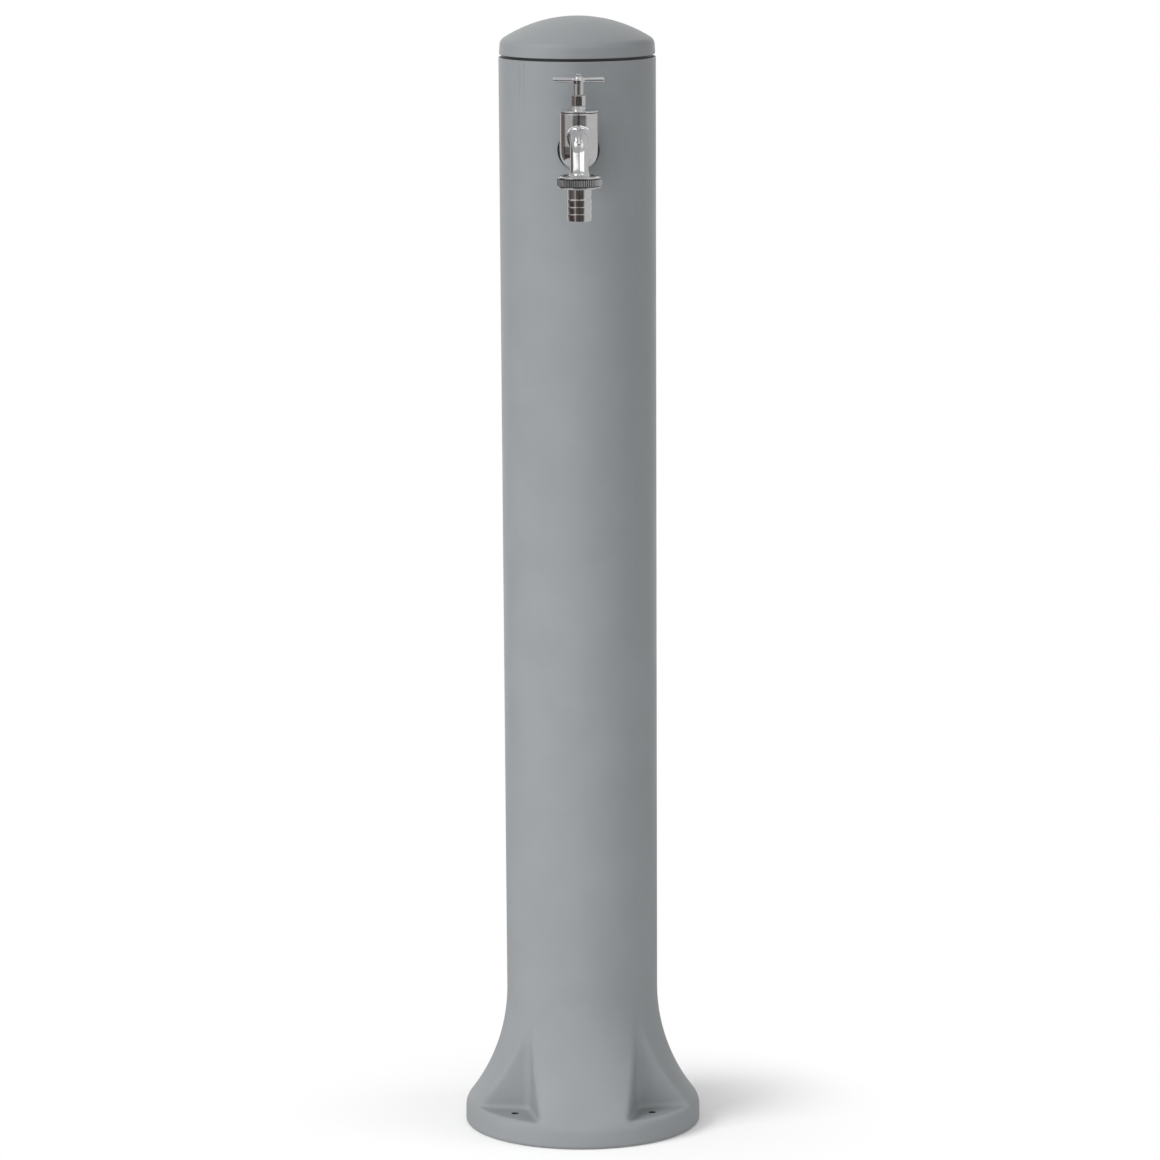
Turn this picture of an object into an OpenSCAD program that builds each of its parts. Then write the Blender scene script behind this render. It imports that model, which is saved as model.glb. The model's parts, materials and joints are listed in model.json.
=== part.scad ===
// Garden standpipe: a hollow moulded column on a flared foot, with a lift-off domed cap and a chromed
// screw-down bib tap whose supply pipe runs up inside the column.
// Millimetres, +Z up. The origin is on the ground, on the column's axis. The tap faces -Y.

/* [Column] */
// Height of the column's top edge above the ground
column_h = 964.5; // [700:0.5:1200]
// Outside diameter at the top edge
column_top_d = 138.6; // [134:0.2:146]
// Outside diameter at the waist, where the foot's flare begins
column_waist_d = 135.8; // [132:0.2:142]
// Thickness of the moulded wall, the same in the column and the foot
column_wall = 4; // [3:0.1:5]

/* [Foot] */
// Outside diameter of the foot
foot_d = 212; // [204:1:224]
// Height of the foot's straight band, where its shoulder starts to turn in
foot_band_h = 13.6; // [10:0.2:18]
// Radius of the shoulder above the band
foot_shoulder_r = 17.9; // [12:0.1:22]
// Radius of the hollow flare that runs up into the column
foot_flare_r = 165; // [140:1:190]
// Height of the floor of the four screw pockets
pocket_floor_h = 22; // [18:0.5:26]
// Angle between the two walls of a pocket
pocket_spread = 112; // [100:1:120]
// Radius of the upright corner between a pocket's walls
pocket_corner_r = 9; // [5:0.5:10]
// Where a ground screw stands, as a share of the way from its pocket's corner to the foot's edge
anchor_share = 0.5; // [0.45:0.01:0.6]
// Diameter of a ground screw's hole
anchor_hole_d = 7; // [5:0.5:9]
// Diameter of the boss around a ground screw's hole
anchor_boss_d = 18; // [14:0.5:20]

/* [Cap] */
// Outside diameter of the cap's rim
cap_d = 137.6; // [134:0.2:144]
// Height of the cap's rim band
cap_band_h = 8; // [6:0.2:11]
// Radius of the cap's shoulder
cap_shoulder_r = 7.7; // [5:0.1:10]
// Radius of the cap's dome
cap_dome_r = 121; // [105:1:140]
// Thickness of the cap's shell
cap_wall = 3.4; // [2.6:0.1:4]
// Height of the shadow gap between the cap's rim and the column
cap_gap = 2.3; // [1.5:0.1:3.5]
// Length of the cap's spigot inside the column
spigot_l = 28; // [18:1:36]

/* [Tap body] */
// From the column's top edge down to the tap's inlet
tap_drop = 75.5; // [60:0.5:300]
// From the column's surface to the valve's upright axis
valve_reach = 30; // [27:0.5:34]
// From the valve's axis to the spout's axis
spout_reach = 24.5; // [23:0.5:28]
// Outside diameter of the valve drum
drum_d = 33.4; // [31:0.2:34]
// Outside diameter of the spout
spout_d = 18.2; // [17:0.2:19]
// Bend radius of the spout, on its axis
spout_bend_r = 14; // [12.5:0.1:15]
// Outside diameter of the barrel between the wall flange and the drum
barrel_d = 26; // [24:0.5:32]
// Outside diameter of the tap's inlet thread
inlet_thread_d = 26.4; // [24:0.1:27]
// Bore of the inlet
inlet_bore_d = 13; // [11:0.2:13]
// Bore of the spout
spout_bore_d = 11.6; // [10:0.2:12]

/* [Handle and spindle] */
// Length of the T handle from tip to tip
bar_l = 44.4; // [36:0.2:50]
// Diameter of the bar at its tips
bar_tip_d = 4.9; // [4:0.1:5.5]
// Diameter of the bar beside the hub
bar_root_d = 3.6; // [3:0.1:4]
// Diameter of the handle's round hub
hub_d = 9.2; // [9:0.1:10]
// Diameter of the spindle's shaft
spindle_d = 6.4; // [6:0.1:6.8]
// Rise of the spindle in one turn
spindle_lead = 2.2; // [1.8:0.1:2.4]
// Turns of the handle from shut to fully open
spindle_turns = 2.5; // [1.5:0.25:2.5]

/* [Hose connection] */
// Outside diameter of the outlet thread that the union nut turns on
nose_d = 33.2; // [32:0.1:34]
// Outside diameter of the union nut
union_d = 38.8; // [38:0.2:42]
// Height of the union nut
union_h = 10.8; // [10:0.2:13]
// Diameter over the hose tail's barbs
tail_d = 21.7; // [20:0.1:22]
// Distance from one barb to the next
barb_pitch = 6.2; // [5:0.1:7]
// Number of barbs
barb_count = 3; // [2:1:4]

/* [Supply pipe] */
// Outside diameter of the riser pipe
pipe_d = 15; // [14:0.2:17]
// Bore of the riser pipe
pipe_bore_d = 13; // [10:0.2:13]
// Height of the lower end of the supply thread above the ground
supply_end_h = 34; // [28:1:44]
// Height of the pipe guide above the ground
guide_h = 112; // [106:1:116]

/* [Hidden] */
$fn = 64;

// Colours
moulding_grey = [0.56, 0.59, 0.61];
chrome = [0.86, 0.87, 0.89];
brass = [0.80, 0.66, 0.36];
rubber_black = [0.08, 0.08, 0.08];
copper = [0.72, 0.43, 0.29];
guide_black = [0.16, 0.17, 0.18];
steel = [0.72, 0.73, 0.74];
fibre_red = [0.55, 0.20, 0.15];
packing_white = [0.92, 0.92, 0.90];

// Clearances, and the run past a face that every cut shares
cut = 1;
thread_gap = 0.1;
running_gap = 0.05;
seat_gap = 0.05;
push_gap = 0.25;
blind_gap = 0.3;

// Steps along each arc of an outline
arc_steps = 12;

// Facets of a curved face that a thin piece is fitted to
fine = 360;

// Column and foot
waist_r = column_waist_d / 2;
top_r = column_top_d / 2;
foot_r = foot_d / 2;
foot_edge_r = 2.5;
column_edge = 0.6;
arc_sum = foot_flare_r + foot_shoulder_r;
arc_offset = arc_sum - (foot_r - waist_r);
flare_angle = acos(arc_offset / arc_sum);
waist_h = foot_band_h + arc_sum * sin(flare_angle);

// Screw pockets in the foot
pocket_out = 0.2;
pocket_count = 4;
pocket_start = 45;
pocket_turn = 360 / pocket_count;
pocket_half = pocket_spread / 2;
pocket_apex = waist_r + pocket_out;
anchor_circle_r = pocket_apex + anchor_share * (foot_r - pocket_apex);

// Lugs that carry the pipe guide, and its screws
guide_t = 6;
guide_gap = 1.4;
guide_ring_w = 12.5;
guide_spoke_w = 8;
guide_hub_wall = 4;
lug_w = 12;
lug_h = 14;
lug_seat = 2;
lug_inset = 11.4;
lug_count = 4;
lug_turn = 360 / lug_count;
guide_screw_inset = 5.5;
guide_screw_d = 4;
guide_screw_head_d = 7.6;
guide_screw_head_h = 2.4;
guide_screw_l = 17;
guide_r = waist_r - column_wall - guide_gap;
guide_screw_r = guide_r - guide_screw_inset;
lug_bottom = guide_h + guide_t;

// Cap
cap_lean = 0.5;
ledge_seat = 1;
spigot_wall = 3.2;
cap_r = cap_d / 2;
cap_rim_h = column_h + cap_gap;
cap_shoulder_x = cap_r - cap_lean - cap_shoulder_r;
cap_shoulder_z = cap_rim_h + cap_band_h;
cap_dome_z = cap_shoulder_z - sqrt(pow(cap_dome_r - cap_shoulder_r, 2) - pow(cap_shoulder_x, 2));
cap_turn = atan2(cap_shoulder_x, cap_shoulder_z - cap_dome_z);
spigot_r = top_r - column_wall - push_gap;

// Distances from the column's axis towards the front, at the tap
tap_h = column_h - tap_drop;
face_r = surface_r(tap_h);
gasket_t = 1;
gasket_w = 4.7;
gasket_d = inlet_thread_d + 2 * (thread_gap + gasket_w);
flange_t = 3;
flange_edge = 1;
flange_in = 1.3;
flange_r = gasket_d / 2 - flange_in;
flange_back = face_r + gasket_t;
flange_front = flange_back + flange_t;
valve_y = face_r + valve_reach;
spout_y = valve_y + spout_reach;
inlet_thread_r = inlet_thread_d / 2;
shank_l = 27;
shank_end = flange_back - shank_l;

// Saddle washer, back nut and elbow behind the column's wall
saddle_t = 5.6;
saddle_w = 5.1;
saddle_gap = 0.3;
back_nut_t = 8;
back_nut_wall = 2.7;
elbow_socket_wall = 3.8;
elbow_socket_l = 13.2;
elbow_leg = 15.5;
elbow_drop = 21;
saddle_face = face_r - column_wall - saddle_t;
back_nut_face = saddle_face - back_nut_t;
elbow_face = back_nut_face - blind_gap;
elbow_neck = elbow_face - elbow_socket_l;
elbow_y = shank_end - elbow_leg;
elbow_body_r = pipe_d / 2 + 4;

// Compression joints, the same at both ends of the riser
pipe_r = pipe_d / 2;
pipe_gap = 0.1;
joint_wall = 2.6;
joint_r = pipe_r + pipe_gap + joint_wall;
joint_thread_l = 9;
olive_h = 6;
olive_wall = 1.8;
olive_edge = 0.6;
olive_bite = 0.02;
joint_nut_over = 2;
joint_nut_lip = 4;
joint_nut_wall = 2;
pipe_in = 10;
elbow_mouth_h = tap_h - elbow_drop - joint_thread_l;
supply_thread_l = 16;
supply_hex_h = 12;
supply_hex_wall = 1.8;
supply_hex_h0 = supply_end_h + supply_thread_l;
adaptor_mouth_h = supply_hex_h0 + supply_hex_h + joint_thread_l;
pipe_top_h = elbow_mouth_h + pipe_in;
pipe_low_h = adaptor_mouth_h - pipe_in;

// Valve drum, from the seat upwards
drum_r = drum_d / 2;
bulb_in = 0.2;
drum_up = 34.1;
chamber_r = 9.5;
bonnet_thread_r = 10.4;
bonnet_thread_l = 13.5;
seat_t = 2.65;
seat_bore_r = 5.5;
seal_t = 0.6;
seal_w = 4.6;
drum_top = tap_h + drum_up;
bonnet_h = drum_top + seal_t;
seat_h = tap_h + inlet_bore_d / 2 + seat_t;
chamber_top = bonnet_h - bonnet_thread_l - blind_gap;
spout_up = 15;
spout_axis_h = tap_h + spout_up;

// Bonnet and gland
plate_over = 0.4;
plate_t = 1.6;
plate_cone_h = 0.9;
plate_cone_in = 1.8;
neck_foot_over = 0.7;
neck_h = 2.6;
gland_wall = 1.1;
gland_h = 9.3;
gland_lip = 1.7;
packing_h = 1.8;
stub_wall = 0.9;
spindle_r = spindle_d / 2;
neck_bore_r = spindle_r + running_gap;
stub_r = neck_bore_r + stub_wall;
gland_flat_r = stub_r + running_gap + gland_wall;
neck_top_r = gland_flat_r / cos(30);
neck_foot_r = neck_top_r + neck_foot_over;
plate_r = drum_r + plate_over;
plate_top = bonnet_h + plate_t;
neck_base_h = plate_top + plate_cone_h;
gland_base_h = neck_base_h + neck_h;
gland_top_h = gland_base_h + gland_h;
packing_top_h = gland_top_h - gland_lip;
stub_top_h = packing_top_h - packing_h;

// Jumper valve with its washer and nut
jumper_disc_r = 6.6;
jumper_disc_h = 2.4;
jumper_washer_t = 3;
jumper_stem_r = 2.4;
jumper_stem_l = 9.4;
jumper_stud_r = 1.5;
jumper_nut_r = 3.2;
jumper_nut_h = 1.8;
jumper_washer_h = seat_h + seat_gap;
jumper_disc_z = jumper_washer_h + jumper_washer_t;
jumper_top = jumper_disc_z + jumper_disc_h;

// Spindle
collar_r = 7.2;
collar_h = 9;
collar_foot_r = 4.2;
collar_foot_h = 2.85;
tip_in = 0.6;
spindle_base = jumper_top + seat_gap;
collar_base = spindle_base + collar_foot_h;
collar_top = collar_base + collar_h;
lift_spare = 0.5;
spindle_lift = spindle_turns * spindle_lead;
bonnet_roof = collar_top + spindle_lift + lift_spare;
handle_gap = 0.7;
shoulder_in = 1.9;
handle_base = gland_top_h + handle_gap;
spindle_shoulder = handle_base + shoulder_in;
tip_r = spindle_r - tip_in;

// T handle and its screw
socket_gap = 0.05;
handle_neck_wall = 1.15;
handle_neck_r = spindle_r + socket_gap + handle_neck_wall;
handle_neck_h = 12.4;
hub_r = hub_d / 2;
hub_h = handle_base + handle_neck_h;
hub_flat = 0.6;
bar_end = 0.5;
screw_r = 1.4;
screw_hole_gap = 0.1;
screw_head_r = 2.4;
screw_head_h = 1.3;
screw_l = 8.4;
hub_top = hub_h + hub_r - hub_flat;
tip_share = 0.4;
tip_top = hub_h - tip_share * hub_r;

// Outlet, from the union nut's foot upwards
nose_drop = 18.1;
nose_flare_h = 4;
nose_flare = 1.2;
union_lip = 1.6;
union_edge_h = 2.7;
union_edge_in = 0.9;
knurl_count = 64;
knurl_depth = 0.45;
tail_flange_t = 1.8;
tail_washer_t = 2;
tail_lip_gap = 0.3;
tail_wall = 2.6;
barb_depth = 0.6;
barb_land = 0.8;
tail_plain_l = 9.4;
tail_end_edge = 0.5;
union_r = union_d / 2;
union_top = tap_h - nose_drop;
union_foot = union_top - union_h;
tail_flange_h = union_foot + union_lip + running_gap;
tail_washer_h = tail_flange_h + tail_flange_t;
nose_foot = tail_washer_h + tail_washer_t + seat_gap;
nose_r = nose_d / 2;
union_bore_r = nose_r + thread_gap;
tail_flange_in = 0.6;
tail_flange_r = nose_r - tail_flange_in;
tail_r = tail_d / 2;
tail_bore_r = tail_r - barb_depth - tail_wall;
tail_barb_top = union_foot - tail_plain_l;
tail_end = tail_barb_top - barb_count * barb_pitch;

// Radius of the column's outside at height z, above the waist
function surface_r(z) = waist_r + (top_r - waist_r) * (z - waist_h) / (column_h - waist_h);

// Points on an arc about a centre, from one angle to another
function arc(centre, r, from, to, steps) = [for (i = [0 : steps])
    let (angle = from + (to - from) * i / steps) centre + r * [cos(angle), sin(angle)]];

// Outline of the foot and column, drawn a wall's thickness inside the outside
function column_outline(inset, edge_r) = concat(
    [[0, 0]],
    edge_r > 0 ? arc([foot_r - inset - edge_r, edge_r], edge_r, -90, 0, arc_steps / 4)
        : [[foot_r - inset, 0]],
    arc([foot_r - foot_shoulder_r, foot_band_h], foot_shoulder_r - inset, 0, flare_angle, arc_steps / 2),
    arc([waist_r + foot_flare_r, waist_h], foot_flare_r + inset, 180 + flare_angle, 180, arc_steps));

// Outline of the cap's outside, or of its inside when inset by the shell's thickness
function cap_outline(inset, foot_z) = concat(
    [[0, foot_z], [cap_r - inset, foot_z]],
    arc([cap_shoulder_x, cap_shoulder_z], cap_shoulder_r - inset, 0, 90 - cap_turn, arc_steps / 2),
    arc([0, cap_dome_z], cap_dome_r - inset, 90 - cap_turn, 90, arc_steps));

// A rod along the tap's inlet, between two distances from the column's axis
module front_rod(r, near, far, h = tap_h) {
    translate([0, -near, h]) rotate([90, 0, 0]) cylinder(r = r, h = far - near);
}

// An upright rod on a vertical axis at distance y in front of the column's axis
module upright(r, low, high, y) {
    translate([0, -y, low]) cylinder(r = r, h = high - low);
}

module upright_cone(r1, r2, low, high, y) {
    translate([0, -y, low]) cylinder(r1 = r1, r2 = r2, h = high - low);
}

// A six-sided prism on an upright axis, given to its flats, with its corners turned back at both ends
module hex_bar(flat_r, low, high, y) {
    corner_r = flat_r / cos(30);
    turned = corner_r - flat_r;
    wide_r = flat_r + 2 * turned;
    h = high - low;
    translate([0, -y, low]) intersection() {
        cylinder(r = corner_r, h = h, $fn = 6);
        rotate_extrude() polygon([[0, 0], [flat_r, 0], [wide_r, turned],
            [wide_r, h - turned], [flat_r, h], [0, h]]);
    }
}

// The four places round the foot that carry a pocket
module at_pockets() {
    for (i = [0 : pocket_count - 1]) rotate([0, 0, pocket_start + i * pocket_turn]) children();
}

// Plan of a pocket, widening outwards from its round corner, moved inwards by a wall's thickness
module pocket_plan(grow) {
    r = pocket_corner_r + grow;
    apex = pocket_apex - grow / sin(pocket_half);
    centre = [apex + r / sin(pocket_half), 0];
    reach = foot_r;
    side = [reach, reach * tan(pocket_half)];
    polygon(concat(
        arc(centre, r, 90 + pocket_half, 270 - pocket_half, arc_steps / 2),
        [[apex + side[0], -side[1]], [apex + side[0], side[1]]]));
}

// The four places inside the column that carry a lug for the pipe guide
module at_lugs() {
    for (i = [0 : lug_count - 1]) rotate([0, 0, i * lug_turn]) children();
}

// Foot and column in one, a wall's thickness inside the outside
module column_solid(inset, edge_r, top_edge) {
    rotate_extrude() polygon(concat(column_outline(inset, edge_r),
        [[top_r - inset, column_h - top_edge], [top_r - inset - top_edge, column_h], [0, column_h]]));
}

// The column's straight, slightly tapered face, a wall's thickness inside the outside
module column_face(inset) {
    translate([0, 0, waist_h])
        cylinder(r1 = waist_r - inset, r2 = top_r - inset, h = column_h - waist_h, $fn = fine);
}

module column_hollow() {
    difference() {
        translate([0, 0, -cut]) cylinder(r = foot_r - column_wall, h = cut + foot_edge_r);
        at_pockets() translate([anchor_circle_r, 0, -cut]) cylinder(d = anchor_boss_d, h = pocket_floor_h);
    }
    difference() {
        column_solid(column_wall, 0, 0);
        at_pockets() {
            translate([0, 0, pocket_floor_h - column_wall])
                linear_extrude(waist_h - pocket_floor_h + column_wall) pocket_plan(column_wall);
            translate([anchor_circle_r, 0, 0]) cylinder(d = anchor_boss_d, h = pocket_floor_h);
        }
        at_lugs() translate([guide_r - lug_inset, -lug_w / 2, lug_bottom]) cube([foot_r, lug_w, lug_h]);
    }
    translate([0, 0, column_h]) cylinder(r = top_r - column_wall, h = cut);
}

module column_shell() {
    color(moulding_grey) difference() {
        column_solid(0, foot_edge_r, column_edge);
        column_hollow();
        at_pockets() {
            translate([0, 0, pocket_floor_h]) linear_extrude(waist_h - pocket_floor_h) pocket_plan(0);
            translate([anchor_circle_r, 0, -cut]) cylinder(d = anchor_hole_d, h = pocket_floor_h + 2 * cut);
        }
        at_lugs() translate([guide_screw_r, 0, lug_bottom - cut])
            cylinder(d = guide_screw_d, h = lug_h - lug_seat + cut);
        front_rod(inlet_thread_r + thread_gap, top_r - column_wall - cut - saddle_t, foot_r);
    }
}

module column_cap() {
    ledge_r = top_r - column_wall + ledge_seat;
    color(moulding_grey) difference() {
        union() {
            rotate_extrude() polygon(cap_outline(0, cap_rim_h));
            translate([0, 0, column_h + seat_gap]) cylinder(r = ledge_r, h = cap_gap - seat_gap + cut);
            translate([0, 0, column_h - spigot_l]) cylinder(r = spigot_r, h = spigot_l + cut);
        }
        rotate_extrude() polygon(cap_outline(cap_wall, cap_rim_h + cap_band_h / 2));
        translate([0, 0, column_h - spigot_l - cut])
            cylinder(r = spigot_r - spigot_wall, h = spigot_l + cap_gap + cap_band_h / 2 + 2 * cut);
    }
}

// A ring with crossed spokes and a hub that steadies the riser. It is screwed up under four lugs.
module pipe_guide() {
    guide_bore_r = pipe_r + push_gap;
    color(guide_black) difference() {
        union() {
            difference() {
                translate([0, 0, guide_h]) cylinder(r = guide_r, h = guide_t);
                translate([0, 0, guide_h - cut]) cylinder(r = guide_r - guide_ring_w, h = guide_t + 2 * cut);
            }
            upright(guide_bore_r + guide_hub_wall, guide_h, guide_h + guide_t, elbow_y);
            intersection() {
                translate([0, 0, guide_h]) cylinder(r = guide_r - guide_ring_w / 2, h = guide_t);
                union() {
                    translate([-guide_r, -elbow_y - guide_spoke_w / 2, guide_h])
                        cube([2 * guide_r, guide_spoke_w, guide_t]);
                    translate([-guide_spoke_w / 2, -guide_r, guide_h])
                        cube([guide_spoke_w, 2 * guide_r, guide_t]);
                }
            }
        }
        upright(guide_bore_r, guide_h - cut, guide_h + guide_t + cut, elbow_y);
        at_lugs() translate([guide_screw_r, 0, guide_h - cut])
            cylinder(r = guide_screw_d / 2 + push_gap, h = guide_t + 2 * cut);
    }
}

module guide_screws() {
    color(steel) at_lugs() translate([guide_screw_r, 0, guide_h]) {
        difference() {
            translate([0, 0, -guide_screw_head_h]) cylinder(d = guide_screw_head_d, h = guide_screw_head_h);
            translate([0, 0, -guide_screw_head_h - cut])
                cylinder(d = guide_screw_d, h = cut + guide_screw_head_h / 2, $fn = 6);
        }
        cylinder(d = guide_screw_d - 2 * running_gap, h = guide_screw_l);
    }
}

module tap_gasket() {
    color(rubber_black) difference() {
        front_rod(gasket_d / 2, saddle_face, flange_back);
        front_rod(inlet_thread_r + thread_gap, saddle_face - cut, flange_back + cut);
        column_face(-seat_gap);
    }
}

// Quarter bend of the spout, from the drum's front down to the outlet
module spout_path(r, low) {
    front_rod(r, valve_y, spout_y - spout_bend_r, spout_axis_h);
    translate([0, spout_bend_r - spout_y, spout_axis_h - spout_bend_r]) rotate([0, -90, 180])
        rotate_extrude(angle = 90) translate([spout_bend_r, 0]) circle(r = r);
    upright(r, low, spout_axis_h - spout_bend_r, spout_y);
}

module tap_body() {
    color(chrome) difference() {
        union() {
            front_rod(inlet_thread_r, shank_end, flange_back + flange_t / 2);
            front_rod(flange_r, flange_back, flange_front - flange_edge);
            translate([0, flange_edge - flange_front, tap_h]) rotate([90, 0, 0])
                cylinder(r1 = flange_r, r2 = flange_r - flange_edge, h = flange_edge);
            front_rod(barrel_d / 2, flange_back, valve_y);
            upright(drum_r, tap_h, drum_top, valve_y);
            translate([0, -valve_y, tap_h]) sphere(r = drum_r - bulb_in);
            spout_path(spout_d / 2, nose_foot + cut);
            upright_cone(spout_d / 2 + nose_flare, spout_d / 2, union_top, union_top + nose_flare_h, spout_y);
            upright(nose_r, nose_foot, union_top, spout_y);
        }
        front_rod(inlet_bore_d / 2, shank_end - cut, valve_y + seat_bore_r);
        upright(seat_bore_r, tap_h, seat_h + cut, valve_y);
        upright(chamber_r, seat_h, chamber_top + cut, valve_y);
        upright(bonnet_thread_r + thread_gap, chamber_top, drum_top + cut, valve_y);
        spout_path(spout_bore_d / 2, nose_foot - cut);
    }
}

// Plastic saddle that turns the column's round inner wall into a flat seat for the back nut
module saddle_washer() {
    color(guide_black) difference() {
        intersection() {
            front_rod(inlet_thread_r + thread_gap + saddle_w, saddle_face, face_r);
            column_face(column_wall + saddle_gap);
        }
        front_rod(inlet_thread_r + thread_gap, saddle_face - cut, face_r + cut);
    }
}

module back_nut() {
    color(brass) difference() {
        translate([0, -back_nut_face, tap_h]) rotate([90, 0, 0])
            hex_bar(inlet_thread_r + thread_gap + back_nut_wall, 0, back_nut_t, 0);
        front_rod(inlet_thread_r + thread_gap, back_nut_face - cut, saddle_face + cut);
    }
}

module wall_elbow() {
    color(brass) difference() {
        union() {
            front_rod(inlet_thread_r + thread_gap + elbow_socket_wall, elbow_neck, elbow_face);
            front_rod(elbow_body_r, elbow_y, elbow_neck + cut);
            translate([0, -elbow_y, tap_h]) sphere(r = elbow_body_r + bulb_in);
            upright(elbow_body_r, tap_h - elbow_drop, tap_h, elbow_y);
            upright(joint_r, elbow_mouth_h, tap_h - elbow_drop + cut, elbow_y);
        }
        front_rod(inlet_thread_r + thread_gap, shank_end - blind_gap, elbow_face + cut);
        front_rod(inlet_bore_d / 2, elbow_y, shank_end);
        translate([0, -elbow_y, tap_h]) sphere(r = max(inlet_bore_d, pipe_bore_d) / 2 + bulb_in);
        upright(pipe_bore_d / 2, elbow_mouth_h, tap_h, elbow_y);
        upright(pipe_r + pipe_gap, elbow_mouth_h - cut, pipe_top_h + blind_gap, elbow_y);
    }
}

// Compression joint parts stand on the mouth of a fitting that faces up. The elbow's are turned over.
module compression_nut(mouth, side) {
    color(brass) translate([0, -elbow_y, mouth]) mirror([0, 0, side < 0 ? 1 : 0]) difference() {
        hex_bar(joint_r + thread_gap + joint_nut_wall, -joint_nut_over, olive_h + joint_nut_lip, 0);
        upright(joint_r + thread_gap, -joint_nut_over - cut, olive_h, 0);
        upright(pipe_r + pipe_gap, 0, olive_h + joint_nut_lip + cut, 0);
    }
}

module olive(mouth, side) {
    rim = pipe_r + olive_bite + olive_wall;
    color(brass) translate([0, -elbow_y, mouth]) mirror([0, 0, side < 0 ? 1 : 0]) difference() {
        union() {
            upright_cone(rim - olive_edge, rim, 0, olive_h / 2, 0);
            upright_cone(rim, rim - olive_edge, olive_h / 2, olive_h, 0);
        }
        upright(pipe_r + olive_bite, -cut, olive_h + cut, 0);
    }
}

module elbow_compression_nut() { compression_nut(elbow_mouth_h, -1); }

module elbow_olive() { olive(elbow_mouth_h, -1); }

module inlet_compression_nut() { compression_nut(adaptor_mouth_h, 1); }

module inlet_olive() { olive(adaptor_mouth_h, 1); }

module riser_pipe() {
    color(copper) difference() {
        upright(pipe_r, pipe_low_h, pipe_top_h, elbow_y);
        upright(pipe_bore_d / 2, pipe_low_h - cut, pipe_top_h + cut, elbow_y);
    }
}

module inlet_adaptor() {
    color(brass) difference() {
        union() {
            upright(inlet_thread_r, supply_end_h, supply_hex_h0 + cut, elbow_y);
            hex_bar(inlet_thread_r + supply_hex_wall, supply_hex_h0, supply_hex_h0 + supply_hex_h, elbow_y);
            upright(joint_r, supply_hex_h0 + supply_hex_h - cut, adaptor_mouth_h, elbow_y);
        }
        upright(pipe_bore_d / 2, supply_end_h - cut, adaptor_mouth_h, elbow_y);
        upright(pipe_r + pipe_gap, pipe_low_h - blind_gap, adaptor_mouth_h + cut, elbow_y);
    }
}

module bonnet_seal() {
    color(fibre_red) difference() {
        upright(bonnet_thread_r + thread_gap + seal_w, drum_top, bonnet_h, valve_y);
        upright(bonnet_thread_r + thread_gap, drum_top - cut, bonnet_h + cut, valve_y);
    }
}

module bonnet() {
    color(chrome) difference() {
        union() {
            upright(bonnet_thread_r, bonnet_h - bonnet_thread_l, bonnet_h + cut, valve_y);
            upright(plate_r, bonnet_h, plate_top, valve_y);
            upright_cone(plate_r - plate_cone_in, neck_foot_r, plate_top, neck_base_h, valve_y);
            upright_cone(neck_foot_r, neck_top_r, neck_base_h, gland_base_h, valve_y);
            upright(stub_r, gland_base_h - cut, stub_top_h, valve_y);
        }
        upright(collar_r + running_gap, bonnet_h - bonnet_thread_l - cut, bonnet_roof, valve_y);
        upright(neck_bore_r, bonnet_roof - cut, stub_top_h + cut, valve_y);
    }
}

module gland_packing() {
    color(packing_white) difference() {
        upright(stub_r, stub_top_h, packing_top_h, valve_y);
        upright(neck_bore_r, stub_top_h - cut, packing_top_h + cut, valve_y);
    }
}

module gland_nut() {
    color(chrome) difference() {
        hex_bar(gland_flat_r, gland_base_h, gland_top_h, valve_y);
        upright(stub_r + running_gap, gland_base_h - cut, packing_top_h, valve_y);
        upright(neck_bore_r + running_gap, packing_top_h - cut, gland_top_h + cut, valve_y);
    }
}

module spindle() {
    color(brass) difference() {
        union() {
            upright(collar_foot_r, spindle_base, collar_base + cut, valve_y);
            upright(collar_r, collar_base, collar_top, valve_y);
            upright(spindle_r, collar_top - cut, spindle_shoulder, valve_y);
            upright(tip_r, spindle_shoulder - cut, tip_top, valve_y);
        }
        upright(jumper_stem_r + thread_gap, spindle_base - cut,
            jumper_top + jumper_stem_l + blind_gap, valve_y);
        upright(screw_r + running_gap, hub_top - screw_l - blind_gap, tip_top + cut, valve_y);
    }
}

module t_handle() {
    half = bar_l / 2;
    tip = bar_tip_d / 2;
    color(chrome) difference() {
        union() {
            upright(handle_neck_r, handle_base, hub_h, valve_y);
            translate([0, -valve_y, hub_h]) {
                sphere(r = hub_r);
                for (side = [-1, 1]) rotate([0, 90 * side, 0]) {
                    cylinder(r1 = bar_root_d / 2, r2 = tip, h = half - bar_end);
                    translate([0, 0, half - bar_end]) cylinder(r1 = tip, r2 = tip - bar_end, h = bar_end);
                }
            }
        }
        upright(spindle_r + socket_gap, handle_base - cut, spindle_shoulder, valve_y);
        upright(tip_r + socket_gap, spindle_shoulder - cut, tip_top + socket_gap, valve_y);
        upright(screw_r + screw_hole_gap, tip_top, hub_top + cut, valve_y);
        upright(hub_r, hub_top, hub_top + hub_r, valve_y);
    }
}

module handle_screw() {
    color(chrome) difference() {
        union() {
            upright(screw_r, hub_top - screw_l, hub_top + screw_head_h / 2, valve_y);
            upright(screw_head_r, hub_top, hub_top + screw_head_h / 2, valve_y);
            upright_cone(screw_head_r, screw_head_r - screw_head_h / 2, hub_top + screw_head_h / 2,
                hub_top + screw_head_h, valve_y);
        }
        translate([-screw_head_r, -valve_y - screw_head_h / 4, hub_top + screw_head_h / 2])
            cube([2 * screw_head_r, screw_head_h / 2, screw_head_h]);
    }
}

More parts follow.
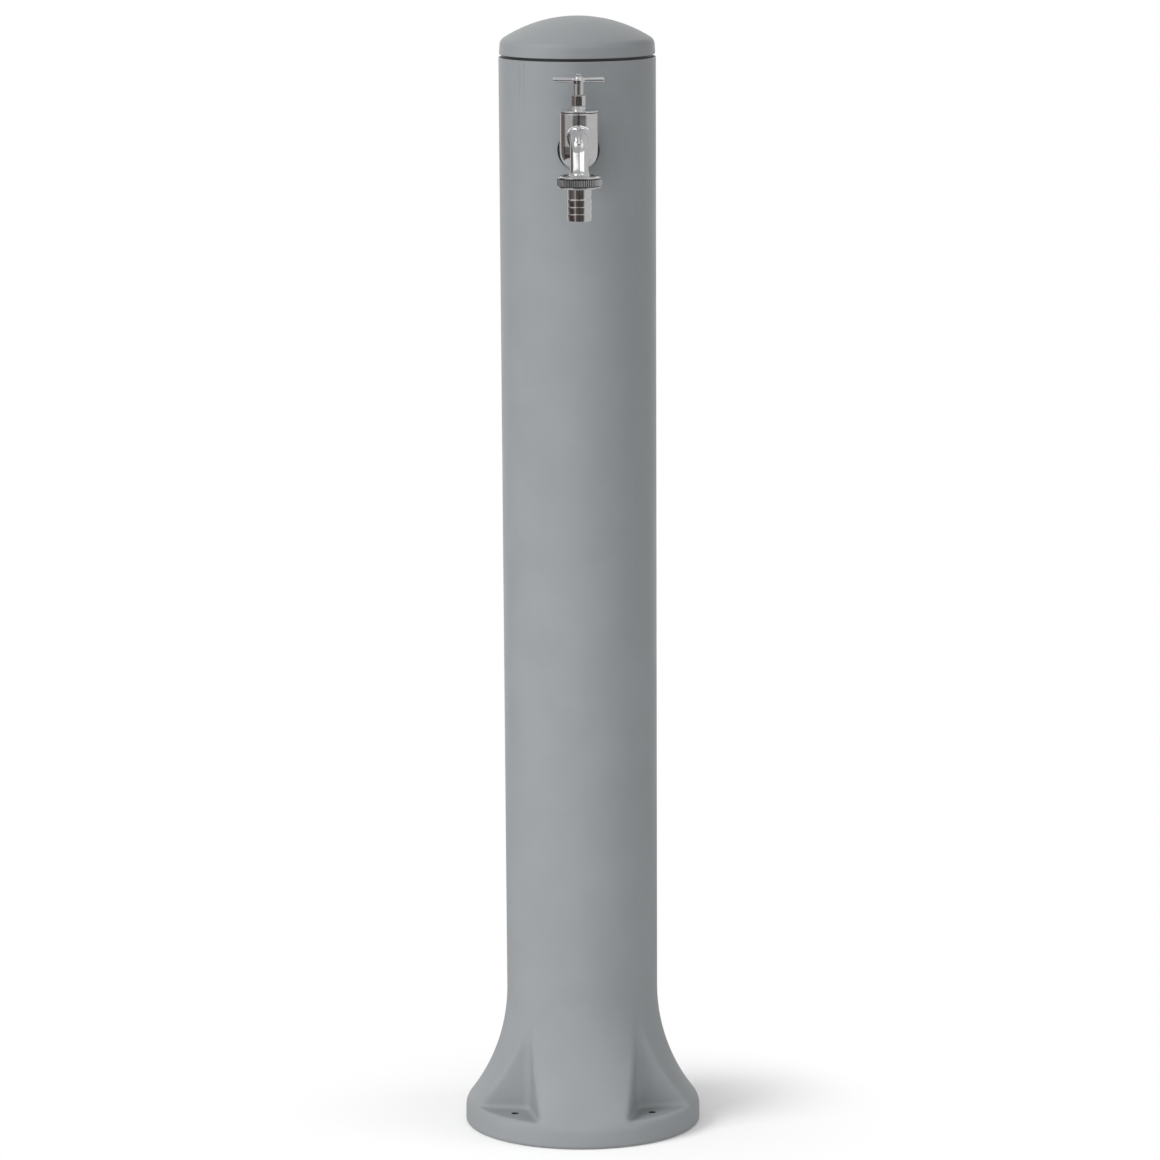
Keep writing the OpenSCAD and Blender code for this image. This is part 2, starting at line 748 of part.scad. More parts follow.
module jumper_valve() {
    color(brass) union() {
        upright(jumper_disc_r, jumper_disc_z, jumper_top, valve_y);
        upright(jumper_stem_r, jumper_top - cut, jumper_top + jumper_stem_l, valve_y);
        upright(jumper_stud_r, jumper_washer_h - jumper_nut_h, jumper_disc_z + cut, valve_y);
    }
}

module jumper_washer() {
    color(rubber_black) difference() {
        upright(jumper_disc_r, jumper_washer_h, jumper_disc_z, valve_y);
        upright(jumper_stud_r + running_gap, jumper_washer_h - cut, jumper_disc_z + cut, valve_y);
    }
}

module jumper_nut() {
    color(brass) difference() {
        hex_bar(jumper_nut_r, jumper_washer_h - jumper_nut_h, jumper_washer_h, valve_y);
        upright(jumper_stud_r + running_gap, jumper_washer_h - jumper_nut_h - cut,
            jumper_washer_h + cut, valve_y);
    }
}

module hose_tail() {
    step_r = tail_r - barb_depth;
    barbs = [for (i = [0 : barb_count - 1]) let (top = tail_barb_top - i * barb_pitch) each
        [[tail_r, top], [tail_r, top - barb_land], [step_r, top - barb_pitch]]];
    color(chrome) translate([0, -spout_y, 0]) rotate_extrude() polygon(concat(
        [[tail_bore_r, tail_washer_h], [tail_flange_r, tail_washer_h], [tail_flange_r, tail_flange_h],
            [step_r, tail_flange_h], [step_r, tail_barb_top]],
        barbs,
        [[step_r - tail_end_edge, tail_end - tail_end_edge], [tail_bore_r, tail_end - tail_end_edge]]));
}

module tail_washer() {
    color(rubber_black) difference() {
        upright(tail_flange_r, tail_washer_h, tail_washer_h + tail_washer_t, spout_y);
        upright(tail_bore_r, tail_washer_h - cut, tail_washer_h + tail_washer_t + cut, spout_y);
    }
}

// Plan of the knurled band: a fine saw-tooth ring
module knurl_plan() {
    half = 180 / knurl_count;
    polygon([for (i = [0 : knurl_count - 1]) each [
        union_r * [cos(2 * i * half), sin(2 * i * half)],
        (union_r - knurl_depth) * [cos((2 * i + 1) * half), sin((2 * i + 1) * half)]]]);
}

module union_nut() {
    edge_r = union_r - union_edge_in;
    band_low = union_foot + union_edge_h;
    band_high = union_top - union_edge_h;
    color(chrome) difference() {
        union() {
            translate([0, -spout_y, band_low]) linear_extrude(band_high - band_low) knurl_plan();
            upright(edge_r, union_foot + union_edge_in, union_top - union_edge_in, spout_y);
            upright_cone(edge_r - union_edge_in, edge_r, union_foot, union_foot + union_edge_in, spout_y);
            upright_cone(edge_r, edge_r - union_edge_in, union_top - union_edge_in, union_top, spout_y);
        }
        upright(union_bore_r, union_foot + union_lip, union_top + cut, spout_y);
        upright(tail_r + tail_lip_gap, union_foot - cut, union_foot + union_lip + cut, spout_y);
    }
}

column_shell();
column_cap();
pipe_guide();
guide_screws();
tap_gasket();
tap_body();
saddle_washer();
back_nut();
wall_elbow();
elbow_compression_nut();
elbow_olive();
riser_pipe();
inlet_olive();
inlet_compression_nut();
inlet_adaptor();
bonnet_seal();
bonnet();
gland_packing();
gland_nut();
spindle();
t_handle();
handle_screw();
jumper_valve();
jumper_washer();
jumper_nut();
hose_tail();
tail_washer();
union_nut();
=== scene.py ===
"""Garden standpipe: a grey moulded post with a lift-off cap and a chromed hose tap.

The frame is in metres, +Z up, with the origin on the ground on the post's axis and the tap facing -Y. The
pieces that show are modelled here again with soft edges and casting fillets, from outlines and fields in
millimetres. The fittings inside the post keep their frame meshes and get their own finishes.
"""
import json
import math

import bmesh
import bpy
import numpy as np
from mathutils import Matrix, Vector

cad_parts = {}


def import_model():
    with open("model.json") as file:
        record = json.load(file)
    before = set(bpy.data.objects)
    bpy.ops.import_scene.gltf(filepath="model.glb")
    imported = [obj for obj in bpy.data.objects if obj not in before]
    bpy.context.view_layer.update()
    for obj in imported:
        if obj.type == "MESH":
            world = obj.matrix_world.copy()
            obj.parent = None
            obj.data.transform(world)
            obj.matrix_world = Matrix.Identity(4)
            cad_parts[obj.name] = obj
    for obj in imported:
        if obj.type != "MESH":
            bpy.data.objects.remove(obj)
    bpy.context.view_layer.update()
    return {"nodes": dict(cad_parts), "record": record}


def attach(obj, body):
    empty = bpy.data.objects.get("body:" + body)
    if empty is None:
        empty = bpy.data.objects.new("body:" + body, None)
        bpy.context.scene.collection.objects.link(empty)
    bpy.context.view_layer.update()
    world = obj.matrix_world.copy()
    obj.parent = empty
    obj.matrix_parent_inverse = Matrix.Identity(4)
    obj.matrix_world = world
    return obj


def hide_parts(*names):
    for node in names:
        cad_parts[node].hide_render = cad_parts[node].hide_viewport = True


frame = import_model()

MM = 0.001
FULL_TURN = 2 * math.pi
SAME_POINT = 1e-7
NEAR_POINT = 1e-6
FAR_OFF = 1000.0
SLOT_OF = {row["node"]: row["material_slot"] for row in frame["record"]["subparts"]}
BODY_OF = {node: body for body, nodes in frame["record"]["behaviour"]["bodies"].items() for node in nodes}

# Column and foot
WALL = 4.0
COLUMN_H = 964.5
FOOT_R = 106.0
TOP_R = 69.3
WAIST_R = 67.9
FOOT_BAND_H = 13.6
SHOULDER_R = 17.9
FLARE_R = 165.0
FOOT_EDGE = 2.5
TOP_EDGE = 0.6
FLARE_ANGLE = math.acos(1 - (FOOT_R - WAIST_R) / (FLARE_R + SHOULDER_R))
WAIST_H = FOOT_BAND_H + (FLARE_R + SHOULDER_R) * math.sin(FLARE_ANGLE)

# Points taken up the foot's outline, and along a pocket's floor
FOOT_SAMPLES = 600
FLOOR_ROWS = 40

# Screw pockets in the foot
POCKET_COUNT = 4
POCKET_START = math.radians(45)
POCKET_HALF = math.radians(56)
POCKET_APEX = 68.1
POCKET_FLOOR = 22.0
POCKET_CORNER = 6.0
POCKET_FILLET = 4.0
POCKET_LIP = 2.6
ANCHOR_R = (POCKET_APEX + FOOT_R) / 2
ANCHOR_HOLE_R = 3.5
ANCHOR_BOSS_R = 9.0

# Lugs inside the column that carry the pipe guide
GUIDE_R = 62.5
LUG_LOW = 118.0
LUG_W = 12.0
LUG_H = 14.0
LUG_SEAT = 2.0
LUG_INSET = 11.4
LUG_HOLE_R = 2.0
LUG_HOLE_INSET = 5.5
LUG_COUNT = 4

# Cap
CAP_R = 68.8
CAP_RIM_H = 966.8
CAP_BAND_H = 8.0
CAP_LEAN = 0.5
CAP_SHOULDER_R = 7.7
CAP_DOME_R = 121.0
CAP_WALL = 3.4
LEDGE_R = 66.3
SPIGOT_R = 65.05
SPIGOT_WALL = 3.2
SPIGOT_LOW = 936.5

# Tap casting
TAP_H = 889.0
FLANGE_BACK = 70.174
FLANGE_T = 3.0
FLANGE_R = 16.7
FLANGE_EDGE = 1.0
SHANK_R = 13.2
SHANK_END = 43.174
INLET_HOLE_R = 13.3
INLET_BORE_R = 6.5
BARREL_R = 13.0
VALVE_Y = 99.174
SPOUT_Y = 123.674
DRUM_R = 16.7
DRUM_TOP = 923.1
BULB_R = 16.5
SEAT_H = 898.15
SEAT_BORE_R = 5.5
CHAMBER_R = 9.5
CHAMBER_TOP = 909.9
BONNET_BORE_R = 10.5
SPOUT_BORE_R = 5.8
SPOUT_BEND_R = 14.0
SPOUT_AXIS_H = 904.0
NOSE_R = 16.6
NOSE_LOW = 865.6
SHANK_EDGE = 0.6
DRUM_EDGE = 0.5
DRUM_GROW_H = 6
FLANGE_BACK_EDGE = 0.3
NOSE_EDGE = 0.3
BARREL_FILLET = 2.4
FLANGE_FILLET = 1.4
SPOUT_FILLET = 3.0

# The spout's half widths to its side and its front where the bend ends: what they gain round the bend,
# how they lean outwards below it, with the height of that part, and the collar on the union nut
SPOUT_SIDE = 7.7
SPOUT_SIDE_SWELL = 0.1
SPOUT_SIDE_LEAN = 0.02
SPOUT_FRONT = 7.02
SPOUT_FRONT_SWELL = 0.63
SPOUT_FRONT_LEAN = 0.105
SPOUT_FRONT_EASE = 0.0012
SPOUT_SWELL_RUN = 6
SPOUT_LEAN_H = 19
COLLAR_SWELL = 2.0
COLLAR_RUN = 1.6

# Gasket, as it is squeezed out under the flange
GASKET_SPREAD = 1.02
GASKET_SAG = 0.7

# Gland nut
GLAND_FLAT = 5.3
GLAND_CORNER = 0.35
GLAND_LOW = 928.8
GLAND_TOP = 938.1
GLAND_BEVEL = (0.447, 0.894)
GLAND_BEVEL_EDGE = 0.3
GLAND_END_EDGE = 0.25
PACKING_R = 4.2
PACKING_TOP = 936.4
SPINDLE_HOLE_R = 3.3

# Handle
HANDLE_H = 951.2
HANDLE_NECK_R = 4.4
HUB_R = 4.6
HUB_LOW = 938.35
HUB_TOP = 955.2
HUB_LOW_EDGE = 0.3
HUB_TOP_EDGE = 0.5
HUB_FILLET = 0.8
ARM_R = 1.8
ARM_GROW = 0.65
ARM_GROW_RUN = 21.7
ARM_REACH = 22.2
ARM_EDGE = 0.8
ARM_FILLET = 1.3
SOCKET_R = 3.25
SOCKET_TOP = 940.7
DRIVE_R = 2.65
DRIVE_TOP = 949.41
SCREW_HOLE_R = 1.5
SCREW_SLOT = (6, 0.65, 1)
SCREW_SLOT_H = 956.35

# Union nut
UNION_LOW = 860.1
UNION_TOP = 870.9
UNION_R = 18.7
UNION_FACE_R = 17.6
UNION_BORE_R = 11.15
UNION_CUP_R = 16.7
UNION_CUP_LOW = 861.7
UNION_GROOVE_R = 18.0
KNURL_COUNT = 64
KNURL_STEPS = 6
KNURL_BAND_R = 19.0
KNURL_LOW_R = 18.95
KNURL_DEPTH = 0.45

# Hose tail
TAIL_COLLAR_R = 16.0
TAIL_COLLAR_TOP = 863.55
TAIL_COLLAR_LOW = 861.75
TAIL_TOP_R = 10.6
TAIL_R = 10.25
TAIL_BORE_R = 7.65
TAIL_END = 831.6
TAIL_END_EDGE = 0.5
BARB_COUNT = 3
BARB_R = 10.85
BARB_TOP = 850.7
BARB_STEP = 6.2
BARB_H = 0.8


# Mesh tools

def mesh_points(mesh):
    """The mesh's points in millimetres, as rows."""
    flat = np.empty(len(mesh.vertices) * 3)
    mesh.vertices.foreach_get("co", flat)
    return flat.reshape(-1, 3) / MM


def set_mesh_points(mesh, points):
    """Moves the mesh's points to these rows of millimetres."""
    mesh.vertices.foreach_set("co", (points * MM).ravel())
    mesh.update()


def shade(mesh, sharp_deg=38):
    """Smooth shading, with a crease where two faces meet at more than the given angle."""
    bm = bmesh.new()
    bm.from_mesh(mesh)
    limit = math.radians(sharp_deg)
    for face in bm.faces:
        face.smooth = True
    for edge in bm.edges:
        edge.smooth = len(edge.link_faces) == 2 and edge.calc_face_angle(0) < limit
    bm.to_mesh(mesh)
    bm.free()


def finished(name, bm, sharp_deg=38):
    """An object from a bmesh whose doubles are merged and whose faces point outwards."""
    bmesh.ops.remove_doubles(bm, verts=bm.verts, dist=SAME_POINT)
    bmesh.ops.recalc_face_normals(bm, faces=bm.faces)
    mesh = bpy.data.meshes.new(name)
    bm.to_mesh(mesh)
    bm.free()
    shade(mesh, sharp_deg)
    piece = bpy.data.objects.new(name, mesh)
    bpy.context.scene.collection.objects.link(piece)
    return piece


def stands_for(piece, node):
    """The piece takes the place, the body and the slot of a frame node."""
    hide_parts(node)
    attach(piece, BODY_OF[node])
    piece.data.materials.clear()
    piece.data.materials.append(MATERIALS[SLOT_OF[node]])


def softened(corners, closed=True, steps=4):
    """An outline from corners of radius, height and edge radius, with an arc in place of each corner.

    A point close to each end of an arc keeps the long faces beside it flat to the eye.
    """
    points, count = [], len(corners)
    for i, (x, z, edge) in enumerate(corners):
        here = Vector((x, z))
        if edge <= 0 or (not closed and i in (0, count - 1)):
            points.append(here)
            continue
        before = Vector(corners[i - 1][:2]) - here
        after = Vector(corners[(i + 1) % count][:2]) - here
        half = before.angle(after) / 2
        run = min(edge / math.tan(half), 0.49 * before.length, 0.49 * after.length)
        radius = run * math.tan(half)
        inward = (before.normalized() + after.normalized()).normalized()
        centre = here + inward * (radius / math.sin(half))
        start = here + before.normalized() * run - centre
        points.append(here + before.normalized() * (0.9 * run + 0.05 * before.length))
        turn = math.pi - 2 * half
        if start.x * inward.y - start.y * inward.x > 0:
            turn = -turn
        for k in range(steps + 1):
            a = turn * k / steps
            points.append(centre + Vector((start.x * math.cos(a) - start.y * math.sin(a),
                                           start.x * math.sin(a) + start.y * math.cos(a))))
        points.append(here + after.normalized() * (0.9 * run + 0.05 * after.length))
    return points


def arc(centre, radius, start, end, steps):
    """Outline corners on an arc about a centre, from one angle to another, in degrees."""
    angles = [math.radians(start + (end - start) * i / steps) for i in range(steps + 1)]
    return [(centre[0] + radius * math.cos(a), centre[1] + radius * math.sin(a), 0) for a in angles]


def spun(outline, steps, y=0.0, closed=True):
    """A bmesh turned from an outline of radii and heights, about the upright axis at a distance in front."""
    bm = bmesh.new()
    verts = [bm.verts.new((x * MM, -y * MM, z * MM)) for x, z in outline]
    edges = [bm.edges.new(pair) for pair in zip(verts, verts[1:])]
    if closed:
        edges.append(bm.edges.new((verts[-1], verts[0])))
    bmesh.ops.spin(bm, geom=verts + edges, cent=(0, -y * MM, 0), axis=(0, 0, 1), dvec=(0, 0, 0),
                   angle=FULL_TURN, steps=steps, use_merge=True, use_duplicate=False)
    bmesh.ops.remove_doubles(bm, verts=bm.verts, dist=SAME_POINT)
    bmesh.ops.recalc_face_normals(bm, faces=bm.faces)
    return bm


def applied(piece):
    """Bakes the piece's modifiers into its mesh."""
    graph = bpy.context.evaluated_depsgraph_get()
    mesh = bpy.data.meshes.new_from_object(piece.evaluated_get(graph))
    old = piece.data
    piece.modifiers.clear()
    piece.data = mesh
    bpy.data.meshes.remove(old)
    mesh.name = piece.name


def joined_and_cut(piece, additions, cutters):
    """Joins the additions to the piece, then takes the cutters out of it."""
    for operation, tools in (("UNION", additions), ("DIFFERENCE", cutters)):
        if not tools:
            continue
        group = bpy.data.collections.new(operation.lower())
        for tool in tools:
            group.objects.link(tool)
        step = piece.modifiers.new(operation.lower(), "BOOLEAN")
        step.operation = operation
        step.operand_type = "COLLECTION"
        step.collection = group
        step.solver = "MANIFOLD"
        applied(piece)
        for tool in tools:
            bpy.data.objects.remove(tool)
        bpy.data.collections.remove(group)


def rod(radius, low, high, x, y, segments=48):
    """An upright rod, used only to join or to cut."""
    bm = bmesh.new()
    bmesh.ops.create_cone(bm, cap_ends=True, segments=segments, radius1=radius * MM, radius2=radius * MM,
                          depth=(high - low) * MM,
                          matrix=Matrix.Translation((x * MM, y * MM, (low + high) / 2 * MM)))
    return finished("rod", bm)


def block(size, place):
    """A box, used only to join or to cut."""
    bm = bmesh.new()
    scale = Matrix.Diagonal([side * MM for side in size] + [1])
    bmesh.ops.create_cube(bm, size=1, matrix=place @ scale)
    return finished("block", bm)


# Fields: distances in millimetres over arrays of points, below zero inside the material

def rounded_cut(a, b, edge):
    """Where both fields hold, with the outer edge between them rounded."""
    return np.minimum(np.maximum(a, b), -edge) + np.hypot(np.maximum(a + edge, 0), np.maximum(b + edge, 0))


def rounded_join(a, b, fillet):
    """Where either field holds, with a fillet in the corner between them."""
    corner = np.hypot(np.maximum(fillet - a, 0), np.maximum(fillet - b, 0))
    return np.maximum(np.minimum(a, b), fillet) - corner


def settle(points, field, reach, rounds=7):
    """Moves each point that lies within reach of the field's surface onto it."""
    step, least_slope = 0.002, 0.05
    near = np.abs(field(points)) < reach
    moved = points[near]
    for _ in range(rounds):
        slope = np.empty_like(moved)
        for axis in range(3):
            shift = np.zeros(3)
            shift[axis] = step
            slope[:, axis] = (field(moved + shift) - field(moved - shift)) / (2 * step)
        size = np.maximum((slope ** 2).sum(1), least_slope)
        moved = moved - (field(moved) / size)[:, None] * slope
    result = points.copy()
    result[near] = moved
    return result


def recast(name, node, field, voxel, reach):
    """A soft-edged copy of a frame node: its mesh is made even, then settled on the rounded field."""
    bm = bmesh.new()
    bm.from_mesh(frame["nodes"][node].data)
    bmesh.ops.remove_doubles(bm, verts=bm.verts, dist=NEAR_POINT)
    piece = finished(name, bm)
    even = piece.modifiers.new("even", "REMESH")
    even.mode = "VOXEL"
    even.voxel_size = voxel * MM
    applied(piece)
    set_mesh_points(piece.data, settle(mesh_points(piece.data), field, reach))
    shade(piece.data, 60)
    stands_for(piece, node)
    return piece


# Column and foot

def shell_radius(z, inset=0.0):
    """Radius of the column's outside at each height, or of its inside when inset by the wall."""
    shoulder = SHOULDER_R - inset
    flare = FLARE_R + inset
    join_h = FOOT_BAND_H + shoulder * math.sin(FLARE_ANGLE)
    taper = (TOP_R - WAIST_R) / (COLUMN_H - WAIST_H)
    bend = np.sqrt(np.maximum(shoulder ** 2 - np.maximum(z - FOOT_BAND_H, 0) ** 2, 0))
    sweep = np.sqrt(np.maximum(flare ** 2 - np.maximum(WAIST_H - z, 0) ** 2, 0))
    low = np.where(z < FOOT_BAND_H, FOOT_R - inset, FOOT_R - SHOULDER_R + bend)
    high = np.where(z < WAIST_H, WAIST_R + FLARE_R - sweep, WAIST_R - inset + taper * (z - WAIST_H))
    return np.where(z < join_h, low, high)


def shell_field(points, inset=0.0):
    """The column's outside with its four soft pockets, or its inside when inset by the wall."""
    x, y, z = points.T
    rise = 0.01
    slope = (shell_radius(z + rise, inset) - shell_radius(z - rise, inset)) / (2 * rise)
    side = (np.hypot(x, y) - shell_radius(z, inset)) / np.sqrt(1 + np.clip(slope, -3, 3) ** 2)
    pocket = np.full(len(points), FAR_OFF)
    for i in range(POCKET_COUNT):
        turn = POCKET_START + i * FULL_TURN / POCKET_COUNT
        along = x * math.cos(turn) + y * math.sin(turn) - POCKET_APEX
        across = y * math.cos(turn) - x * math.sin(turn)
        left = across * math.cos(POCKET_HALF) - along * math.sin(POCKET_HALF) - inset
        right = -across * math.cos(POCKET_HALF) - along * math.sin(POCKET_HALF) - inset
        plan = rounded_cut(left, right, POCKET_CORNER + inset)
        pocket = np.minimum(pocket, rounded_cut(POCKET_FLOOR - inset - z, plan, POCKET_FILLET))
    body = rounded_cut(side, -pocket, POCKET_LIP)
    if inset:
        return body
    return rounded_cut(rounded_cut(body, -z, FOOT_EDGE), z - COLUMN_H, TOP_EDGE)


def wall_radius(angle, inset):
    """How far out a ray at this angle meets a pocket's wall, or far off where it meets none."""
    sector = FULL_TURN / POCKET_COUNT
    off = abs((angle - POCKET_START + sector / 2) % sector - sector / 2)
    if off >= POCKET_HALF:
        return FAR_OFF
    return (POCKET_APEX * math.sin(POCKET_HALF) - inset) / math.sin(POCKET_HALF - off)


def foot_profile(angle, rows, inset):
    """Rows of points up the foot at one angle, evenly spaced along its outline there."""
    z = np.linspace(0, WAIST_H, FOOT_SAMPLES)
    r = shell_radius(z, inset)
    if not inset:
        low = z < FOOT_EDGE
        r = np.where(low, r - FOOT_EDGE + np.sqrt(np.maximum(FOOT_EDGE ** 2 - (FOOT_EDGE - z) ** 2, 0)), r)
    wall = wall_radius(angle, inset)
    cut = (z > POCKET_FLOOR - inset) & (r > wall)
    if cut.any():
        first = np.argmax(cut)
        ledge = np.linspace(r[first], wall, FLOOR_ROWS)
        r = np.where(cut, wall, r)
        r = np.concatenate([r[:first], ledge, r[first:]])
        z = np.concatenate([z[:first], np.full(FLOOR_ROWS, POCKET_FLOOR - inset), z[first:]])
    run = np.concatenate([[0], np.cumsum(np.hypot(np.diff(r), np.diff(z)))])
    share = np.linspace(0, run[-1], rows)
    return np.interp(share, run, r), np.interp(share, run, z)


def upper_profile(inset):
    """Rows of points up the column above the foot, with its rounded top edge."""
    low_edge = COLUMN_H - TOP_EDGE
    z = np.append(np.linspace(WAIST_H, low_edge, 13)[1:-1], [low_edge - 0.3, low_edge])
    r = shell_radius(z, inset)
    if inset:
        return np.append(r, TOP_R - inset), np.append(z, COLUMN_H)
    a = np.linspace(0, math.pi / 2, 5)[1:]
    return (np.append(r, TOP_R - TOP_EDGE + TOP_EDGE * np.cos(a)),
            np.append(z, COLUMN_H - TOP_EDGE + TOP_EDGE * np.sin(a)))


def shell_rows(angle, rows, inset):
    """Radius and height of every row at one angle, from the ground to the top."""
    return np.concatenate([foot_profile(angle, rows, inset), upper_profile(inset)], axis=1)


def post():
    """Column and foot, one hollow moulding with soft pockets, bosses, lugs and a hole for the tap."""
    columns, outer_rows, inner_rows = 400, 92, 46
    profiles = [np.concatenate([shell_rows(i * FULL_TURN / columns, outer_rows, 0.0),
                                shell_rows(i * FULL_TURN / columns, inner_rows, WALL)[:, ::-1]], axis=1)
                for i in range(columns)]
    outer_count = outer_rows + len(upper_profile(0.0)[0])
    bm = spun([(WAIST_R, row) for row in range(profiles[0].shape[1])], columns)
    mesh = bpy.data.meshes.new("skin")
    bm.to_mesh(mesh)
    bm.free()
    points = mesh_points(mesh)
    row = np.rint(points[:, 2]).astype(int)
    column = np.rint(np.arctan2(points[:, 1], points[:, 0]) / FULL_TURN * columns).astype(int) % columns
    radius, height = np.array(profiles)[column, :, row].T
    angle = column * FULL_TURN / columns
    points = np.stack([radius * np.cos(angle), radius * np.sin(angle), height], axis=1)
    free = (height > 0.01) & (height < COLUMN_H - TOP_EDGE - 0.01)
    for skin, inset in ((free & (row < outer_count), 0.0), (free & (row >= outer_count), WALL)):
        points[skin] = settle(points[skin], lambda p: shell_field(p, inset), 6.0)
    set_mesh_points(mesh, points)
    bm = bmesh.new()
    bm.from_mesh(mesh)
    bpy.data.meshes.remove(mesh)
    piece = finished("post", bm)
    bosses, holes, lugs = [], [], []
    for i in range(POCKET_COUNT):
        turn = POCKET_START + i * FULL_TURN / POCKET_COUNT
        x, y = ANCHOR_R * math.cos(turn), ANCHOR_R * math.sin(turn)
        bosses.append(rod(ANCHOR_BOSS_R, 0, POCKET_FLOOR - WALL / 2, x, y))
        holes.append(rod(ANCHOR_HOLE_R, -1, POCKET_FLOOR + 5, x, y, 32))
    for i in range(LUG_COUNT):
        turn = Matrix.Rotation(i * FULL_TURN / LUG_COUNT, 4, "Z")
        length = LUG_INSET + 3.5
        place = Vector((GUIDE_R - LUG_INSET + length / 2, 0, LUG_LOW + LUG_H / 2)) * MM
        lugs.append(block((length, LUG_W, LUG_H), turn @ Matrix.Translation(place)))
        spot = turn @ Vector((GUIDE_R - LUG_HOLE_INSET, 0, 0))
        holes.append(rod(LUG_HOLE_R, LUG_LOW - 1, LUG_LOW + LUG_H - LUG_SEAT, spot.x, spot.y, 24))
    bm = bmesh.new()
    turn = Matrix.Translation(Vector((0, -TOP_R, TAP_H)) * MM) @ Matrix.Rotation(math.pi / 2, 4, "X")
    bmesh.ops.create_cone(bm, cap_ends=True, segments=96, radius1=INLET_HOLE_R * MM,
                          radius2=INLET_HOLE_R * MM, depth=20 * MM, matrix=turn)
    holes.append(finished("tap_hole", bm))
    joined_and_cut(piece, bosses + lugs, holes)
    shade(piece.data)
    stands_for(piece, "column_shell")


# Cap

def cap():
    """Domed cap with its rim, the ledge behind the shadow gap and the spigot inside the column."""
    shoulder_x = CAP_R - CAP_LEAN - CAP_SHOULDER_R
    shoulder_z = CAP_RIM_H + CAP_BAND_H
    dome_z = shoulder_z - math.sqrt((CAP_DOME_R - CAP_SHOULDER_R) ** 2 - shoulder_x ** 2)
    turn = math.degrees(math.atan2(shoulder_z - dome_z, shoulder_x))
    bore = SPIGOT_R - SPIGOT_WALL
    inner = CAP_DOME_R - CAP_WALL
    inner_turn = math.degrees(math.acos(bore / inner))
    corners = arc((0, dome_z), CAP_DOME_R, 90, turn, 28)
    corners += arc((shoulder_x, shoulder_z), CAP_SHOULDER_R, turn, 0, 14)[1:]
    corners += [(CAP_R, CAP_RIM_H, 0.8), (LEDGE_R, CAP_RIM_H, 0.3), (LEDGE_R, COLUMN_H + 0.05, 0.3),
                (SPIGOT_R, COLUMN_H + 0.05, 0.2), (SPIGOT_R, SPIGOT_LOW, 0.7), (bore, SPIGOT_LOW, 0.5)]
    corners += arc((0, dome_z), inner, inner_turn, 90, 20)
    stands_for(finished("cap", spun(softened(corners, closed=False), 256, closed=False)), "column_cap")


# Tap casting

def upright_at(points, y):
    """Distance from an upright axis that stands y in front."""
    return np.hypot(points[:, 0], points[:, 1] + y)


def within(value, low, high):
    """A field below zero between the two values."""
    return np.maximum(low - value, value - high)


